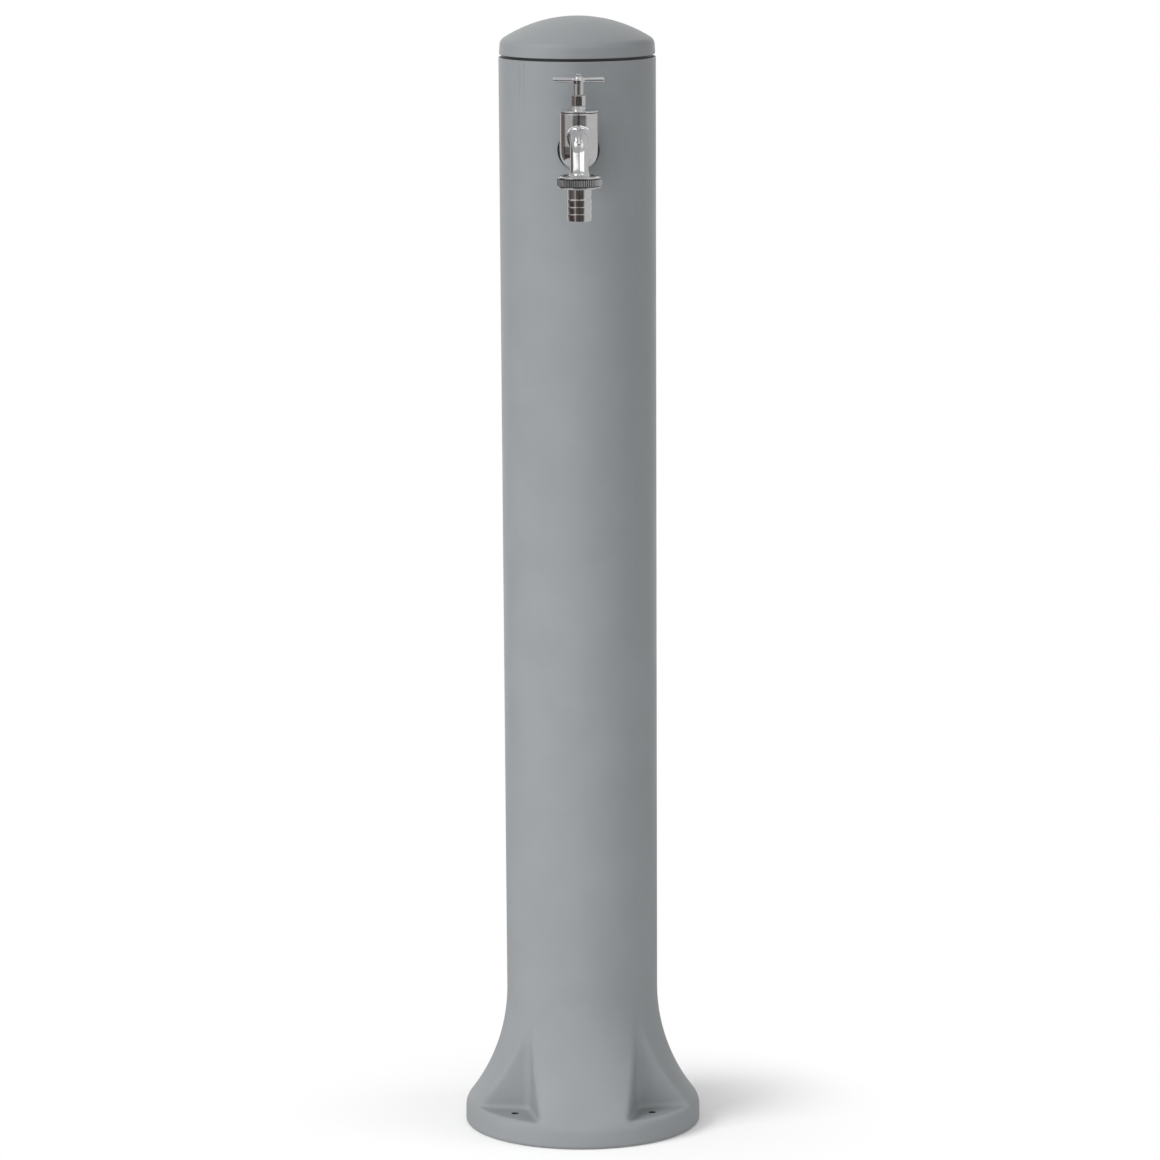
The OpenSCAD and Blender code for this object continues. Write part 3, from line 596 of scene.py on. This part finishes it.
def casting_field(points):
    """Shank, flange, barrel, drum and spout as one casting with its fillets, less its waterways."""
    x, y, z = points.T
    out = -y
    level = np.hypot(x, z - TAP_H)
    drum_axis = upright_at(points, VALVE_Y)
    shank = rounded_cut(level - SHANK_R, SHANK_END - out, SHANK_EDGE)
    shank = np.maximum(shank, out - FLANGE_BACK - 1)
    flange = rounded_cut(rounded_cut(level - FLANGE_R, out - FLANGE_BACK - FLANGE_T, FLANGE_EDGE),
                         FLANGE_BACK - out, FLANGE_BACK_EDGE)
    barrel = np.maximum(level - BARREL_R, within(out, FLANGE_BACK, VALVE_Y))
    bulb = np.hypot(drum_axis, np.minimum(z - TAP_H, 0)) - BULB_R
    grow = np.clip((z - TAP_H) / DRUM_GROW_H, 0, 1)
    drum = rounded_cut(bulb - (DRUM_R - BULB_R) * grow, z - DRUM_TOP, DRUM_EDGE)
    bend_y, bend_z = SPOUT_Y - SPOUT_BEND_R, SPOUT_AXIS_H - SPOUT_BEND_R
    corner = np.hypot(out - bend_y, z - bend_z)
    outer = np.where(z < bend_z, out - SPOUT_Y, corner - SPOUT_BEND_R)
    outer = np.where(out < bend_y, z - SPOUT_AXIS_H, outer)
    pipe = np.sqrt(x ** 2 + outer ** 2 + np.maximum(VALVE_Y - out, 0) ** 2)
    round_bend = SPOUT_BEND_R * np.arctan2(np.maximum(z - bend_z, 0), np.maximum(out - bend_y, 0.001))
    down = np.clip(bend_z - z, 0, SPOUT_LEAN_H)
    swell = np.exp(-np.where(z < bend_z, 0, round_bend) / SPOUT_SWELL_RUN)
    side = SPOUT_SIDE + SPOUT_SIDE_SWELL * swell + SPOUT_SIDE_LEAN * down
    front = SPOUT_FRONT + SPOUT_FRONT_SWELL * swell + SPOUT_FRONT_LEAN * down - SPOUT_FRONT_EASE * down ** 2
    flat_front = np.sqrt(pipe ** 2 + x ** 2 * ((front / side) ** 2 - 1)) - front
    spout = np.where(outer > 0, flat_front, pipe - side)
    spout = spout - COLLAR_SWELL * np.exp(-np.maximum(z - UNION_TOP, 0) / COLLAR_RUN)
    spout = np.maximum(spout, NOSE_LOW - z)
    spout_axis = upright_at(points, SPOUT_Y)
    nose = rounded_cut(spout_axis - NOSE_R, within(z, NOSE_LOW, UNION_TOP), NOSE_EDGE)
    neck = rounded_join(barrel, drum, BARREL_FILLET)
    neck = rounded_join(neck, flange, FLANGE_FILLET)
    solid = rounded_join(neck, spout, SPOUT_FILLET)
    solid = np.minimum(np.minimum(solid, shank), nose)
    bores = [np.maximum(level - INLET_BORE_R, within(out, 0, VALVE_Y + SEAT_BORE_R)),
             np.maximum(drum_axis - SEAT_BORE_R, within(z, TAP_H, SEAT_H + 1)),
             np.maximum(drum_axis - CHAMBER_R, within(z, SEAT_H, CHAMBER_TOP + 1)),
             np.maximum(drum_axis - BONNET_BORE_R, within(z, CHAMBER_TOP, DRUM_TOP + 9)),
             np.where(z < bend_z, spout_axis, pipe) - SPOUT_BORE_R]
    return np.maximum(solid, -np.minimum.reduce(bores))


def gasket():
    """The frame's gasket, pressed a little wider where it is squeezed out under the flange."""
    bm = bmesh.new()
    bm.from_mesh(frame["nodes"]["tap_gasket"].data)
    bmesh.ops.remove_doubles(bm, verts=bm.verts, dist=NEAR_POINT)
    for vert in bm.verts:
        reach = math.hypot(vert.co.x, vert.co.z - TAP_H * MM)
        if reach > SHANK_R * MM + 0.001:
            vert.co.x *= GASKET_SPREAD
            vert.co.z = TAP_H * MM + (vert.co.z - TAP_H * MM) * GASKET_SPREAD - GASKET_SAG * MM
    stands_for(finished("pressed_gasket", bm), "tap_gasket")


# Bonnet, gland, handle and outlet

def bonnet():
    """Round plate, cone and neck, and the threaded skirt inside the drum."""
    corners = [(7.25, 910.2, 0.2), (10.4, 910.2, 0.3), (10.4, 923.7, 0.15), (17.1, 923.7, 0.35),
               (17.1, 925.3, 0.6), (15.3, 925.3, 0.5), (6.82, 926.2, 1.0), (6.12, GLAND_LOW, 0.3),
               (4.15, GLAND_LOW, 0), (4.15, 934.6, 0.2), (3.25, 934.6, 0), (3.25, 921.5, 0), (7.25, 921.5, 0)]
    stands_for(finished("bonnet_turned", spun(softened(corners), 160, VALVE_Y)), "bonnet")


def gland_field(points):
    """Hexagon with soft corners and turned-back ends, less its packing bore."""
    x, y, z = points[:, 0], points[:, 1] + VALVE_Y, points[:, 2]
    flats = [np.abs(x * math.cos(a) + y * math.sin(a)) - GLAND_FLAT for a in np.radians((30, 90, 150))]
    prism = rounded_cut(rounded_cut(flats[0], flats[1], GLAND_CORNER), flats[2], GLAND_CORNER)
    axis = np.hypot(x, y)
    out, up = GLAND_BEVEL
    for end in (GLAND_LOW - z, z - GLAND_TOP):
        prism = rounded_cut(prism, (axis - GLAND_FLAT) * out + end * up, GLAND_BEVEL_EDGE)
        prism = rounded_cut(prism, end, GLAND_END_EDGE)
    bore = np.minimum(np.maximum(axis - PACKING_R, z - PACKING_TOP), axis - SPINDLE_HOLE_R)
    return np.maximum(prism, -bore)


def handle_field(points):
    """Neck, round hub with a flat top and two arms that thicken towards their tips, less the socket."""
    x, y, z = points[:, 0], points[:, 1] + VALVE_Y, points[:, 2]
    axis = np.hypot(x, y)
    neck = np.maximum(axis - HANDLE_NECK_R, z - HANDLE_H)
    ball = np.hypot(axis, z - HANDLE_H) - HUB_R
    hub = rounded_join(neck, ball, HUB_FILLET)
    arm = np.hypot(y, z - HANDLE_H) - ARM_R - ARM_GROW * np.minimum(np.abs(x) / ARM_GROW_RUN, 1)
    arm = rounded_cut(arm, np.abs(x) - ARM_REACH, ARM_EDGE)
    solid = rounded_join(hub, arm, ARM_FILLET)
    solid = rounded_cut(solid, z - HUB_TOP, HUB_TOP_EDGE)
    solid = rounded_cut(solid, HUB_LOW - z, HUB_LOW_EDGE)
    socket = np.maximum(axis - SOCKET_R, z - SOCKET_TOP)
    drive = np.maximum(axis - DRIVE_R, z - DRIVE_TOP)
    return np.maximum(solid, -np.minimum(np.minimum(socket, drive), axis - SCREW_HOLE_R))


def handle_screw():
    """Slotted screw in the top of the hub."""
    corners = [(0, 946.8, 0), (1.4, 946.8, 0.2), (1.4, HUB_TOP, 0), (2.4, HUB_TOP, 0.15), (2.4, 955.95, 0.35),
               (1.6, 956.5, 0.5), (0, 956.5, 0)]
    piece = finished("slotted_screw", spun(softened(corners, closed=False), 64, VALVE_Y, closed=False))
    slot = Matrix.Translation(Vector((0, -VALVE_Y, SCREW_SLOT_H)) * MM)
    joined_and_cut(piece, [], [block(SCREW_SLOT, slot)])
    shade(piece.data)
    stands_for(piece, "handle_screw")


def union_nut():
    """Nut with a knurled band between two grooves. Each ridge of the band is real."""
    corners = [(UNION_BORE_R, UNION_LOW, 0.2), (UNION_FACE_R, UNION_LOW, 0.3), (UNION_R, 861.0, 0.4),
               (UNION_R, 861.75, 0.1), (UNION_GROOVE_R, 861.9, 0.1), (UNION_GROOVE_R, 862.5, 0.1)]
    corners += [(KNURL_BAND_R, height, 0) for height in (862.7, 864.5, 866.5, 868.3)]
    corners += [(UNION_GROOVE_R, 868.5, 0.1), (UNION_GROOVE_R, 869.1, 0.1), (UNION_R, 869.25, 0.1),
                (UNION_R, 870.0, 0.4), (UNION_FACE_R, UNION_TOP, 0.3), (UNION_CUP_R, UNION_TOP, 0.2),
                (UNION_CUP_R, UNION_CUP_LOW, 0), (UNION_BORE_R, UNION_CUP_LOW, 0.2)]
    bm = spun(softened(corners), KNURL_COUNT * KNURL_STEPS, SPOUT_Y)
    centre = Vector((0, -SPOUT_Y * MM, 0))
    for vert in bm.verts:
        offset = (vert.co - centre) / MM
        if abs(math.hypot(offset.x, offset.y) - KNURL_BAND_R) < 0.01:
            angle = math.atan2(offset.y, offset.x)
            radius = KNURL_LOW_R + KNURL_DEPTH * (0.5 + 0.5 * math.cos(KNURL_COUNT * angle))
            vert.co = centre + Vector((radius * math.cos(angle), radius * math.sin(angle), offset.z)) * MM
    stands_for(finished("knurled_nut", bm, 50), "union_nut")


def hose_tail():
    """Tail with its collar in the nut, a slightly tapered neck and its barbs."""
    corners = [(TAIL_BORE_R, TAIL_COLLAR_TOP, 0.1), (TAIL_COLLAR_R, TAIL_COLLAR_TOP, 0.2),
               (TAIL_COLLAR_R, TAIL_COLLAR_LOW, 0.2), (TAIL_TOP_R, TAIL_COLLAR_LOW, 0.4)]
    for i in range(BARB_COUNT):
        top = BARB_TOP - BARB_STEP * i
        corners += [(TAIL_R, top, 0.2), (BARB_R, top, 0.15), (BARB_R, top - BARB_H, 0.15)]
    corners += [(TAIL_R, TAIL_END + TAIL_END_EDGE, 0.1), (TAIL_R - TAIL_END_EDGE, TAIL_END, 0.3),
                (TAIL_BORE_R, TAIL_END, 0.3)]
    stands_for(finished("barbed_tail", spun(softened(corners), 128, SPOUT_Y)), "hose_tail")


# Node tools

def add(tree, kind, inputs=None, **settings):
    """A new shader node. Each input is a value, or a socket to link from."""
    node = tree.nodes.new("ShaderNode" + kind)
    for name, value in settings.items():
        setattr(node, name, value)
    for key, value in (inputs or {}).items():
        if isinstance(value, bpy.types.NodeSocket):
            tree.links.new(value, node.inputs[key])
        else:
            node.inputs[key].default_value = value
    return node


def maths(tree, operation, *values):
    """The output of a maths node."""
    return add(tree, "Math", dict(enumerate(values)), operation=operation).outputs[0]


def ramp(tree, value, low, high, start=0.0, end=1.0):
    """The value eased from start to end as it goes from low to high."""
    return add(tree, "MapRange", {"Value": value, "From Min": low, "From Max": high, "To Min": start,
                                  "To Max": end}, interpolation_type="SMOOTHSTEP").outputs["Result"]


def mixed(tree, share, first, second):
    """Two colours mixed by a share."""
    node = tree.nodes.new("ShaderNodeMix")
    node.data_type = "RGBA"
    for socket, value in ((node.inputs[0], share), (node.inputs[6], first), (node.inputs[7], second)):
        if isinstance(value, bpy.types.NodeSocket):
            tree.links.new(value, socket)
        else:
            socket.default_value = value if socket == node.inputs[0] else (*value, 1)
    return node.outputs[2]


def new_group(name, inputs, output):
    """A shader node group with a vector and these number inputs, and one output."""
    tree = bpy.data.node_groups.new(name, "ShaderNodeTree")
    tree.interface.new_socket("Vector", in_out="INPUT", socket_type="NodeSocketVector")
    for label, value in inputs.items():
        tree.interface.new_socket(label, in_out="INPUT", socket_type="NodeSocketFloat").default_value = value
    tree.interface.new_socket(output, in_out="OUTPUT", socket_type="NodeSocketFloat")
    return tree, tree.nodes.new("NodeGroupInput").outputs, tree.nodes.new("NodeGroupOutput").inputs


def grouped(tree, group, **values):
    """One use of a group on the object's own coordinates."""
    place = add(tree, "TexCoord").outputs["Object"]
    node = add(tree, "Group", node_tree=group)
    tree.links.new(place, node.inputs["Vector"])
    for label, value in values.items():
        node.inputs[label].default_value = value
    return node.outputs[0]


def blotches_group():
    """Soft cloudy patches."""
    tree, given, out = new_group("blotches", {"Scale": 20, "From": 0.4, "To": 0.65}, "Mask")
    noise = add(tree, "TexNoise", {"Vector": given["Vector"], "Scale": given["Scale"], "Detail": 5,
                                   "Roughness": 0.6}).outputs[0]
    tree.links.new(ramp(tree, noise, given["From"], given["To"]), out["Mask"])
    return tree


def grain_group():
    """Fine grain over a slow swell, as a height."""
    tree, given, out = new_group("grain", {"Scale": 1500, "Swell": 40, "Share": 0.5}, "Height")
    fine = add(tree, "TexNoise", {"Vector": given["Vector"], "Scale": given["Scale"], "Detail": 3}).outputs[0]
    slow = add(tree, "TexNoise", {"Vector": given["Vector"], "Scale": given["Swell"], "Detail": 2}).outputs[0]
    total = maths(tree, "ADD", fine, maths(tree, "MULTIPLY", slow, given["Share"]))
    tree.links.new(total, out["Height"])
    return tree


def scuffs_group():
    """Thin marks that run one way."""
    tree, given, out = new_group("scuffs", {"Across": 1600, "Along": 70, "From": 0.66, "To": 0.75}, "Mask")
    stretch = add(tree, "CombineXYZ", {"X": given["Across"], "Y": given["Across"], "Z": given["Along"]})
    spread = add(tree, "VectorMath", {0: given["Vector"], 1: stretch.outputs[0]}, operation="MULTIPLY")
    noise = add(tree, "TexNoise", {"Vector": spread.outputs[0], "Scale": 1, "Detail": 2}).outputs[0]
    tree.links.new(ramp(tree, noise, given["From"], given["To"]), out["Mask"])
    return tree


def dust_group():
    """Dust that lies on faces that look up."""
    tree, given, out = new_group("dust", {"Scale": 60, "Lean": 0.3}, "Mask")
    up = add(tree, "SeparateXYZ", {0: add(tree, "NewGeometry").outputs["Normal"]}).outputs["Z"]
    noise = add(tree, "TexNoise", {"Vector": given["Vector"], "Scale": given["Scale"],
                                   "Detail": 6}).outputs[0]
    lies = ramp(tree, up, given["Lean"], 1.0)
    tree.links.new(maths(tree, "MULTIPLY", lies, ramp(tree, noise, 0.35, 0.7)), out["Mask"])
    return tree


def groove_shade_group():
    """Painted shade: a mask for the dark inside of a groove round an upright axis that stands some way in
    front.
    """
    tree, given, out = new_group("groove", {"Low": 0, "High": 0, "Radius": 0, "Front": 0}, "Mask")
    place = add(tree, "SeparateXYZ", {0: given["Vector"]}).outputs
    back = maths(tree, "ADD", place["Y"], given["Front"])
    squares = [maths(tree, "POWER", side, 2) for side in (place["X"], back)]
    reach = maths(tree, "SQRT", maths(tree, "ADD", *squares))
    soft = 0.0003
    inside = ramp(tree, maths(tree, "SUBTRACT", reach, given["Radius"]), -2 * soft, 2 * soft, 1.0, 0.0)
    over = ramp(tree, maths(tree, "SUBTRACT", place["Z"], given["Low"]), -soft, soft)
    under = ramp(tree, maths(tree, "SUBTRACT", place["Z"], given["High"]), -soft, soft, 1.0, 0.0)
    tree.links.new(maths(tree, "MULTIPLY", inside, maths(tree, "MULTIPLY", over, under)), out["Mask"])
    return tree


def hole_shade_group():
    """Painted shade: a mask for the dark inside of four upright holes, one in each quarter, the same distance
    out in x and y.
    """
    tree, given, out = new_group("holes", {"Out": 0, "Radius": 0, "High": 0}, "Mask")
    place = add(tree, "SeparateXYZ", {0: given["Vector"]}).outputs
    off = [maths(tree, "SUBTRACT", maths(tree, "ABSOLUTE", place[axis]), given["Out"]) for axis in "XY"]
    squares = [maths(tree, "POWER", side, 2) for side in off]
    reach = maths(tree, "SQRT", maths(tree, "ADD", *squares))
    inside = maths(tree, "LESS_THAN", reach, given["Radius"])
    under = maths(tree, "LESS_THAN", place["Z"], given["High"])
    tree.links.new(maths(tree, "MULTIPLY", inside, under), out["Mask"])
    return tree


GROUPS = {"blotches": blotches_group(), "grain": grain_group(), "scuffs": scuffs_group(),
          "dust": dust_group(), "groove": groove_shade_group(), "holes": hole_shade_group()}


DUST_COLOUR = (0.42, 0.40, 0.36)
# Near-black for the painted shade in grooves and holes
PAINTED_SHADE_COLOUR = (0.02, 0.02, 0.02)


def material(name, colour, dark, light, rough, metallic=0.0, blotch=20, grain=1500, swell=40, share=0.5,
             bump=0.15, depth=0.00004, scuff=0.0, dust=0.0, painted_shade_places=None):
    """A procedural finish: mottled colour and roughness, scuffs, dust, painted shade in grooves and holes,
    and a grain bump.
    """
    made = bpy.data.materials.new(name)
    made.use_nodes = True
    made.diffuse_color = (*colour, 1)
    tree = made.node_tree
    shader = tree.nodes["Principled BSDF"]
    patches = grouped(tree, GROUPS["blotches"], **{"Scale": blotch, "From": 0.35, "To": 0.7})
    specks = grouped(tree, GROUPS["blotches"], **{"Scale": blotch * 9, "From": 0.3, "To": 0.75})
    shadow = [c * dark for c in colour]
    glow = [c * light for c in colour]
    base = mixed(tree, patches, shadow, glow)
    base = mixed(tree, maths(tree, "MULTIPLY", specks, 0.35), base, [c * (dark + light) / 2 for c in colour])
    rough_now = maths(tree, "ADD", maths(tree, "MULTIPLY", patches, rough[1] - rough[0]), rough[0])
    if scuff:
        marks = grouped(tree, GROUPS["scuffs"])
        base = mixed(tree, maths(tree, "MULTIPLY", marks, scuff), base, [min(c * 1.25, 1) for c in colour])
        rough_now = maths(tree, "ADD", rough_now, maths(tree, "MULTIPLY", marks, scuff * 0.3))
    if dust:
        settled = maths(tree, "MULTIPLY", grouped(tree, GROUPS["dust"]), dust)
        base = mixed(tree, settled, base, DUST_COLOUR)
        rough_now = maths(tree, "ADD", rough_now, maths(tree, "MULTIPLY", settled, 0.4))
    # Painted shade: the base colour goes nearly black where each mask of shade holds
    for group, values in (painted_shade_places or {}).items():
        shade_mask = grouped(tree, GROUPS[group], **values)
        base = mixed(tree, maths(tree, "MULTIPLY", shade_mask, 0.9), base, PAINTED_SHADE_COLOUR)
    tree.links.new(base, shader.inputs["Base Color"])
    tree.links.new(rough_now, shader.inputs["Roughness"])
    shader.inputs["Metallic"].default_value = metallic
    height = grouped(tree, GROUPS["grain"], Scale=grain, Swell=swell, Share=share)
    relief = add(tree, "Bump", {"Height": height, "Strength": bump, "Distance": depth})
    tree.links.new(relief.outputs[0], shader.inputs["Normal"])
    return made


MATERIALS = {
    "moulded_grey": material("moulded_grey", (0.248, 0.262, 0.271), 0.96, 1.03, (0.40, 0.50), blotch=14,
                             grain=2200, swell=30, share=2.0, bump=0.25, scuff=0.08, dust=0.06,
                             # painted shade in the shadow gap between the cap and the column
                             painted_shade_places={"groove": {"Low": 0.9643, "High": 0.9670, "Radius": 0.0682},
                                          # painted shade inside the four screw holes
                                          "holes": {"Out": ANCHOR_R * math.cos(POCKET_START) * MM,
                                                    "Radius": (ANCHOR_HOLE_R + 0.1) * MM, "High": 0.0218}}),
    "dark_plastic": material("dark_plastic", (0.028, 0.030, 0.033), 0.85, 1.15, (0.4, 0.55), scuff=0.2,
                             dust=0.1),
    "screw_steel": material("screw_steel", (0.58, 0.59, 0.60), 0.85, 1.0, (0.25, 0.4), 1.0, blotch=200,
                            scuff=0.2),
    "black_rubber": material("black_rubber", (0.012, 0.012, 0.012), 0.8, 1.3, (0.6, 0.8), blotch=120,
                             dust=0.1),
    "polished_chrome": material("polished_chrome", (0.80, 0.80, 0.81), 0.94, 1.0, (0.09, 0.14), 1.0,
                                blotch=70, grain=700, swell=110, share=3.0, bump=0.3, depth=0.00002,
                                # painted shade in the grooves and knurl of the union nut
                                painted_shade_places={"groove": {"Low": 0.8619, "High": 0.8691, "Radius": 0.0191,
                                                        "Front": SPOUT_Y * MM}}),
    "plain_brass": material("plain_brass", (0.66, 0.47, 0.16), 0.75, 1.0, (0.22, 0.42), 1.0, blotch=60,
                            scuff=0.25),
    "copper_tube": material("copper_tube", (0.62, 0.27, 0.14), 0.7, 1.0, (0.2, 0.4), 1.0, blotch=40,
                            scuff=0.2),
    "red_fibre": material("red_fibre", (0.10, 0.018, 0.012), 0.7, 1.2, (0.7, 0.9), blotch=300),
    "white_packing": material("white_packing", (0.80, 0.80, 0.76), 0.85, 1.0, (0.6, 0.8), blotch=200),
}


# Pieces

post()
cap()
gasket()
recast("tap_casting", "tap_body", casting_field, voxel=0.5, reach=1.8)
bonnet()
recast("gland_hexagon", "gland_nut", gland_field, voxel=0.15, reach=0.8)
recast("tee_handle", "t_handle", handle_field, voxel=0.25, reach=1.2)
handle_screw()
union_nut()
hose_tail()
for name, cad in frame["nodes"].items():
    for slot in cad.material_slots:
        slot.material = MATERIALS[SLOT_OF[name]]


# Floor, light and camera

def world():
    """White for the camera, an even dome for matt faces, and panels round the room for polished ones."""
    made = bpy.data.worlds.new("studio")
    bpy.context.scene.world = made
    made.use_nodes = True
    tree = made.node_tree
    tree.nodes.clear()
    way = add(tree, "SeparateXYZ", {0: add(tree, "TexCoord").outputs["Generated"]}).outputs
    turn = maths(tree, "DEGREES", maths(tree, "ARCTAN2", way["X"], maths(tree, "MULTIPLY", way["Y"], -1.0)))
    rise = maths(tree, "DEGREES", maths(tree, "ARCSINE", way["Z"]))
    colour = mixed(tree, ramp(tree, rise, -30, 60), (0.50, 0.50, 0.50), (0.42, 0.42, 0.43))
    for low, high, bottom, top, soft, shade_of in PANELS:
        across = maths(tree, "MULTIPLY", ramp(tree, turn, low - soft, low + soft),
                       ramp(tree, turn, high - soft, high + soft, 1.0, 0.0))
        up = maths(tree, "MULTIPLY", ramp(tree, rise, bottom - soft, bottom + soft),
                   ramp(tree, rise, top - soft, top + soft, 1.0, 0.0))
        colour = mixed(tree, maths(tree, "MULTIPLY", across, up), colour, shade_of)
    path = add(tree, "LightPath").outputs
    below, level, above = [(value, value, value) for value in DOME]
    dome = mixed(tree, ramp(tree, rise, 0, 60), mixed(tree, ramp(tree, rise, -40, 0), below, level), above)
    seen = mixed(tree, path["Is Glossy Ray"], dome, colour)
    seen = mixed(tree, path["Is Camera Ray"], seen, (1.0, 1.0, 1.0))
    back = add(tree, "Background", {"Color": seen, "Strength": 1.0})
    tree.links.new(back.outputs[0], add(tree, "OutputWorld").inputs["Surface"])


def lamp(name, turn, rise, energy, size, away=6.0, height=0.5):
    """An area light aimed at a height on the post. The panels stand for it where it would be reflected."""
    data = bpy.data.lights.new(name, "AREA")
    data.shape = "DISK"
    data.size = size
    data.energy = energy
    light = bpy.data.objects.new(name, data)
    turn, rise = math.radians(turn), math.radians(rise)
    way = Vector((math.sin(turn) * math.cos(rise), -math.cos(turn) * math.cos(rise), math.sin(rise)))
    light.location = Vector((0, 0, height)) + way * away
    light.rotation_euler = (-way).to_track_quat("-Z", "Y").to_euler()
    light.visible_glossy = False
    light.visible_camera = False
    bpy.context.scene.collection.objects.link(light)


def floor():
    """A pale round floor with painted shade under the post, that keeps the contact shadow and fades into the
    white background.
    """
    bm = bmesh.new()
    bmesh.ops.create_circle(bm, cap_ends=True, segments=96, radius=FLOOR_R)
    disc = finished("floor", bm)
    disc.location.z = -FLOOR_DROP
    made = bpy.data.materials.new("floor")
    made.use_nodes = True
    tree = made.node_tree
    tree.nodes.clear()
    place = add(tree, "TexCoord").outputs["Object"]
    reach = add(tree, "VectorMath", {0: place}, operation="LENGTH").outputs["Value"]
    # Painted shade: near-black under the post, pale beyond it
    pale = mixed(tree, ramp(tree, reach, *FLOOR_PAINTED_SHADE), (0.03, 0.03, 0.03), (0.8, 0.8, 0.8))
    lit = add(tree, "BsdfDiffuse", {"Color": pale}).outputs[0]
    glow = add(tree, "Emission", {"Color": (1, 1, 1, 1)})
    tree.links.new(ramp(tree, reach, *FLOOR_LIT, 0.0, FLOOR_GLOW), glow.inputs["Strength"])
    near = add(tree, "AddShader", {0: lit, 1: glow.outputs[0]}).outputs[0]
    white = add(tree, "Emission", {"Color": (1, 1, 1, 1), "Strength": 1.0}).outputs[0]
    shown = add(tree, "MixShader", {0: ramp(tree, reach, *FLOOR_WHITE), 1: near, 2: white}).outputs[0]
    camera_ray = add(tree, "LightPath").outputs["Is Camera Ray"]
    above = add(tree, "MixShader", {0: camera_ray, 1: lit, 2: shown}).outputs[0]
    mirrored = add(tree, "Emission", {"Color": (0.5, 0.5, 0.5, 1)}).outputs[0]
    glossy_ray = add(tree, "LightPath").outputs["Is Glossy Ray"]
    above = add(tree, "MixShader", {0: glossy_ray, 1: above, 2: mirrored}).outputs[0]
    below = add(tree, "BsdfTransparent").outputs[0]
    under = add(tree, "NewGeometry").outputs["Backfacing"]
    final = add(tree, "MixShader", {0: under, 1: above, 2: below}).outputs[0]
    tree.links.new(final, add(tree, "OutputMaterial").inputs["Surface"])
    disc.data.materials.append(made)


CAMERA_TURN = math.radians(-0.6)
CAMERA_TILT = 0.1694
CAMERA_ROLL = -0.0055
CAMERA_PLACE = (0, -4.70993, 1.30254)
FOCAL_PX = 5340.42
PHOTO_PX = 1160
SENSOR_W = 36
FLOOR_R = 1.6
FLOOR_DROP = 0.0002
FLOOR_GLOW = 0.15
# Distances from the post's axis over which the floor turns from painted shade under the post to pale, starts
# to glow and fades to white
FLOOR_PAINTED_SHADE = (0.092, 0.102)
FLOOR_LIT = (0.09, 0.11)
FLOOR_WHITE = (0.115, 0.30)
# The dome that lights matt faces: from below, level and from above
DOME = (0.415, 0.405, 0.54)
# Panels seen by polished faces: from and to in turn, from and to in rise and the softness, all in
# degrees, then the colour. Turn is 0 behind the camera and grows to its right, and a later panel covers
# an earlier one.
PANELS = [
    (60, 130, -60, 60, 12, (0.54, 0.54, 0.54)),
    (-132, -90, -60, 12, 10, (0.145, 0.12, 0.11)),
    (-80, -46, -60, 30, 6, (0.44, 0.44, 0.44)),
    (-104, -46, -28, -6.8, 1.5, (0.06, 0.045, 0.04)),
    (-60, -48, -28, -6.8, 3, (0.16, 0.13, 0.12)),
    (-38, 44, -26, 0, 8, (0.07, 0.06, 0.055)),
    (-50, 50, 16, 45, 5, (0.62, 0.62, 0.62)),
    (-90, -9, 12, 34, 10, (0.45, 0.45, 0.45)),
    (4, 75, 12, 34, 10, (0.52, 0.52, 0.52)),
    (-80, -7, -1, 5, 2, (1.4, 1.4, 1.4)),
    (2, 66, -1, 10, 3, (1.4, 1.4, 1.4)),
    (-72, -40, 30, 56, 8, (2.1, 2.1, 2.1)),
    (28, 60, 28, 50, 8, (1.15, 1.15, 1.15)),
    (-12, 9, 40, 75, 5, (0.8, 0.8, 0.8)),
    (-8, 6, -48, 36, 3, (0.35, 0.35, 0.35)),
    (-8, 6, -48, 2, 3, (0.09, 0.09, 0.09)),
    (-10, 7, -26, -2, 3, (0.05, 0.045, 0.04)),
    (145, 215, -60, 60, 9, (1.0, 1.0, 1.0)),
    (-215, -145, -60, 60, 9, (1.0, 1.0, 1.0)),
]

world()
lamp("key", -56, 34, 292, 3.2)
lamp("fill", 78, 20, 66, 3.2)
lamp("foot_glow", -12, 8, 4.3, 0.9, away=1.3, height=0.1)
floor()

scene = bpy.context.scene
view = bpy.data.cameras.new("camera")
view.sensor_width = SENSOR_W
view.lens = FOCAL_PX / PHOTO_PX * SENSOR_W
view.dof.use_dof = False
camera = bpy.data.objects.new("camera", view)
camera.matrix_world = (Matrix.Rotation(CAMERA_TURN, 4, "Z") @ Matrix.Translation(CAMERA_PLACE)
                       @ Matrix.Rotation(math.pi / 2 - CAMERA_TILT, 4, "X")
                       @ Matrix.Rotation(CAMERA_ROLL, 4, "Z"))
scene.collection.objects.link(camera)
scene.camera = camera
scene.view_settings.view_transform = "Standard"
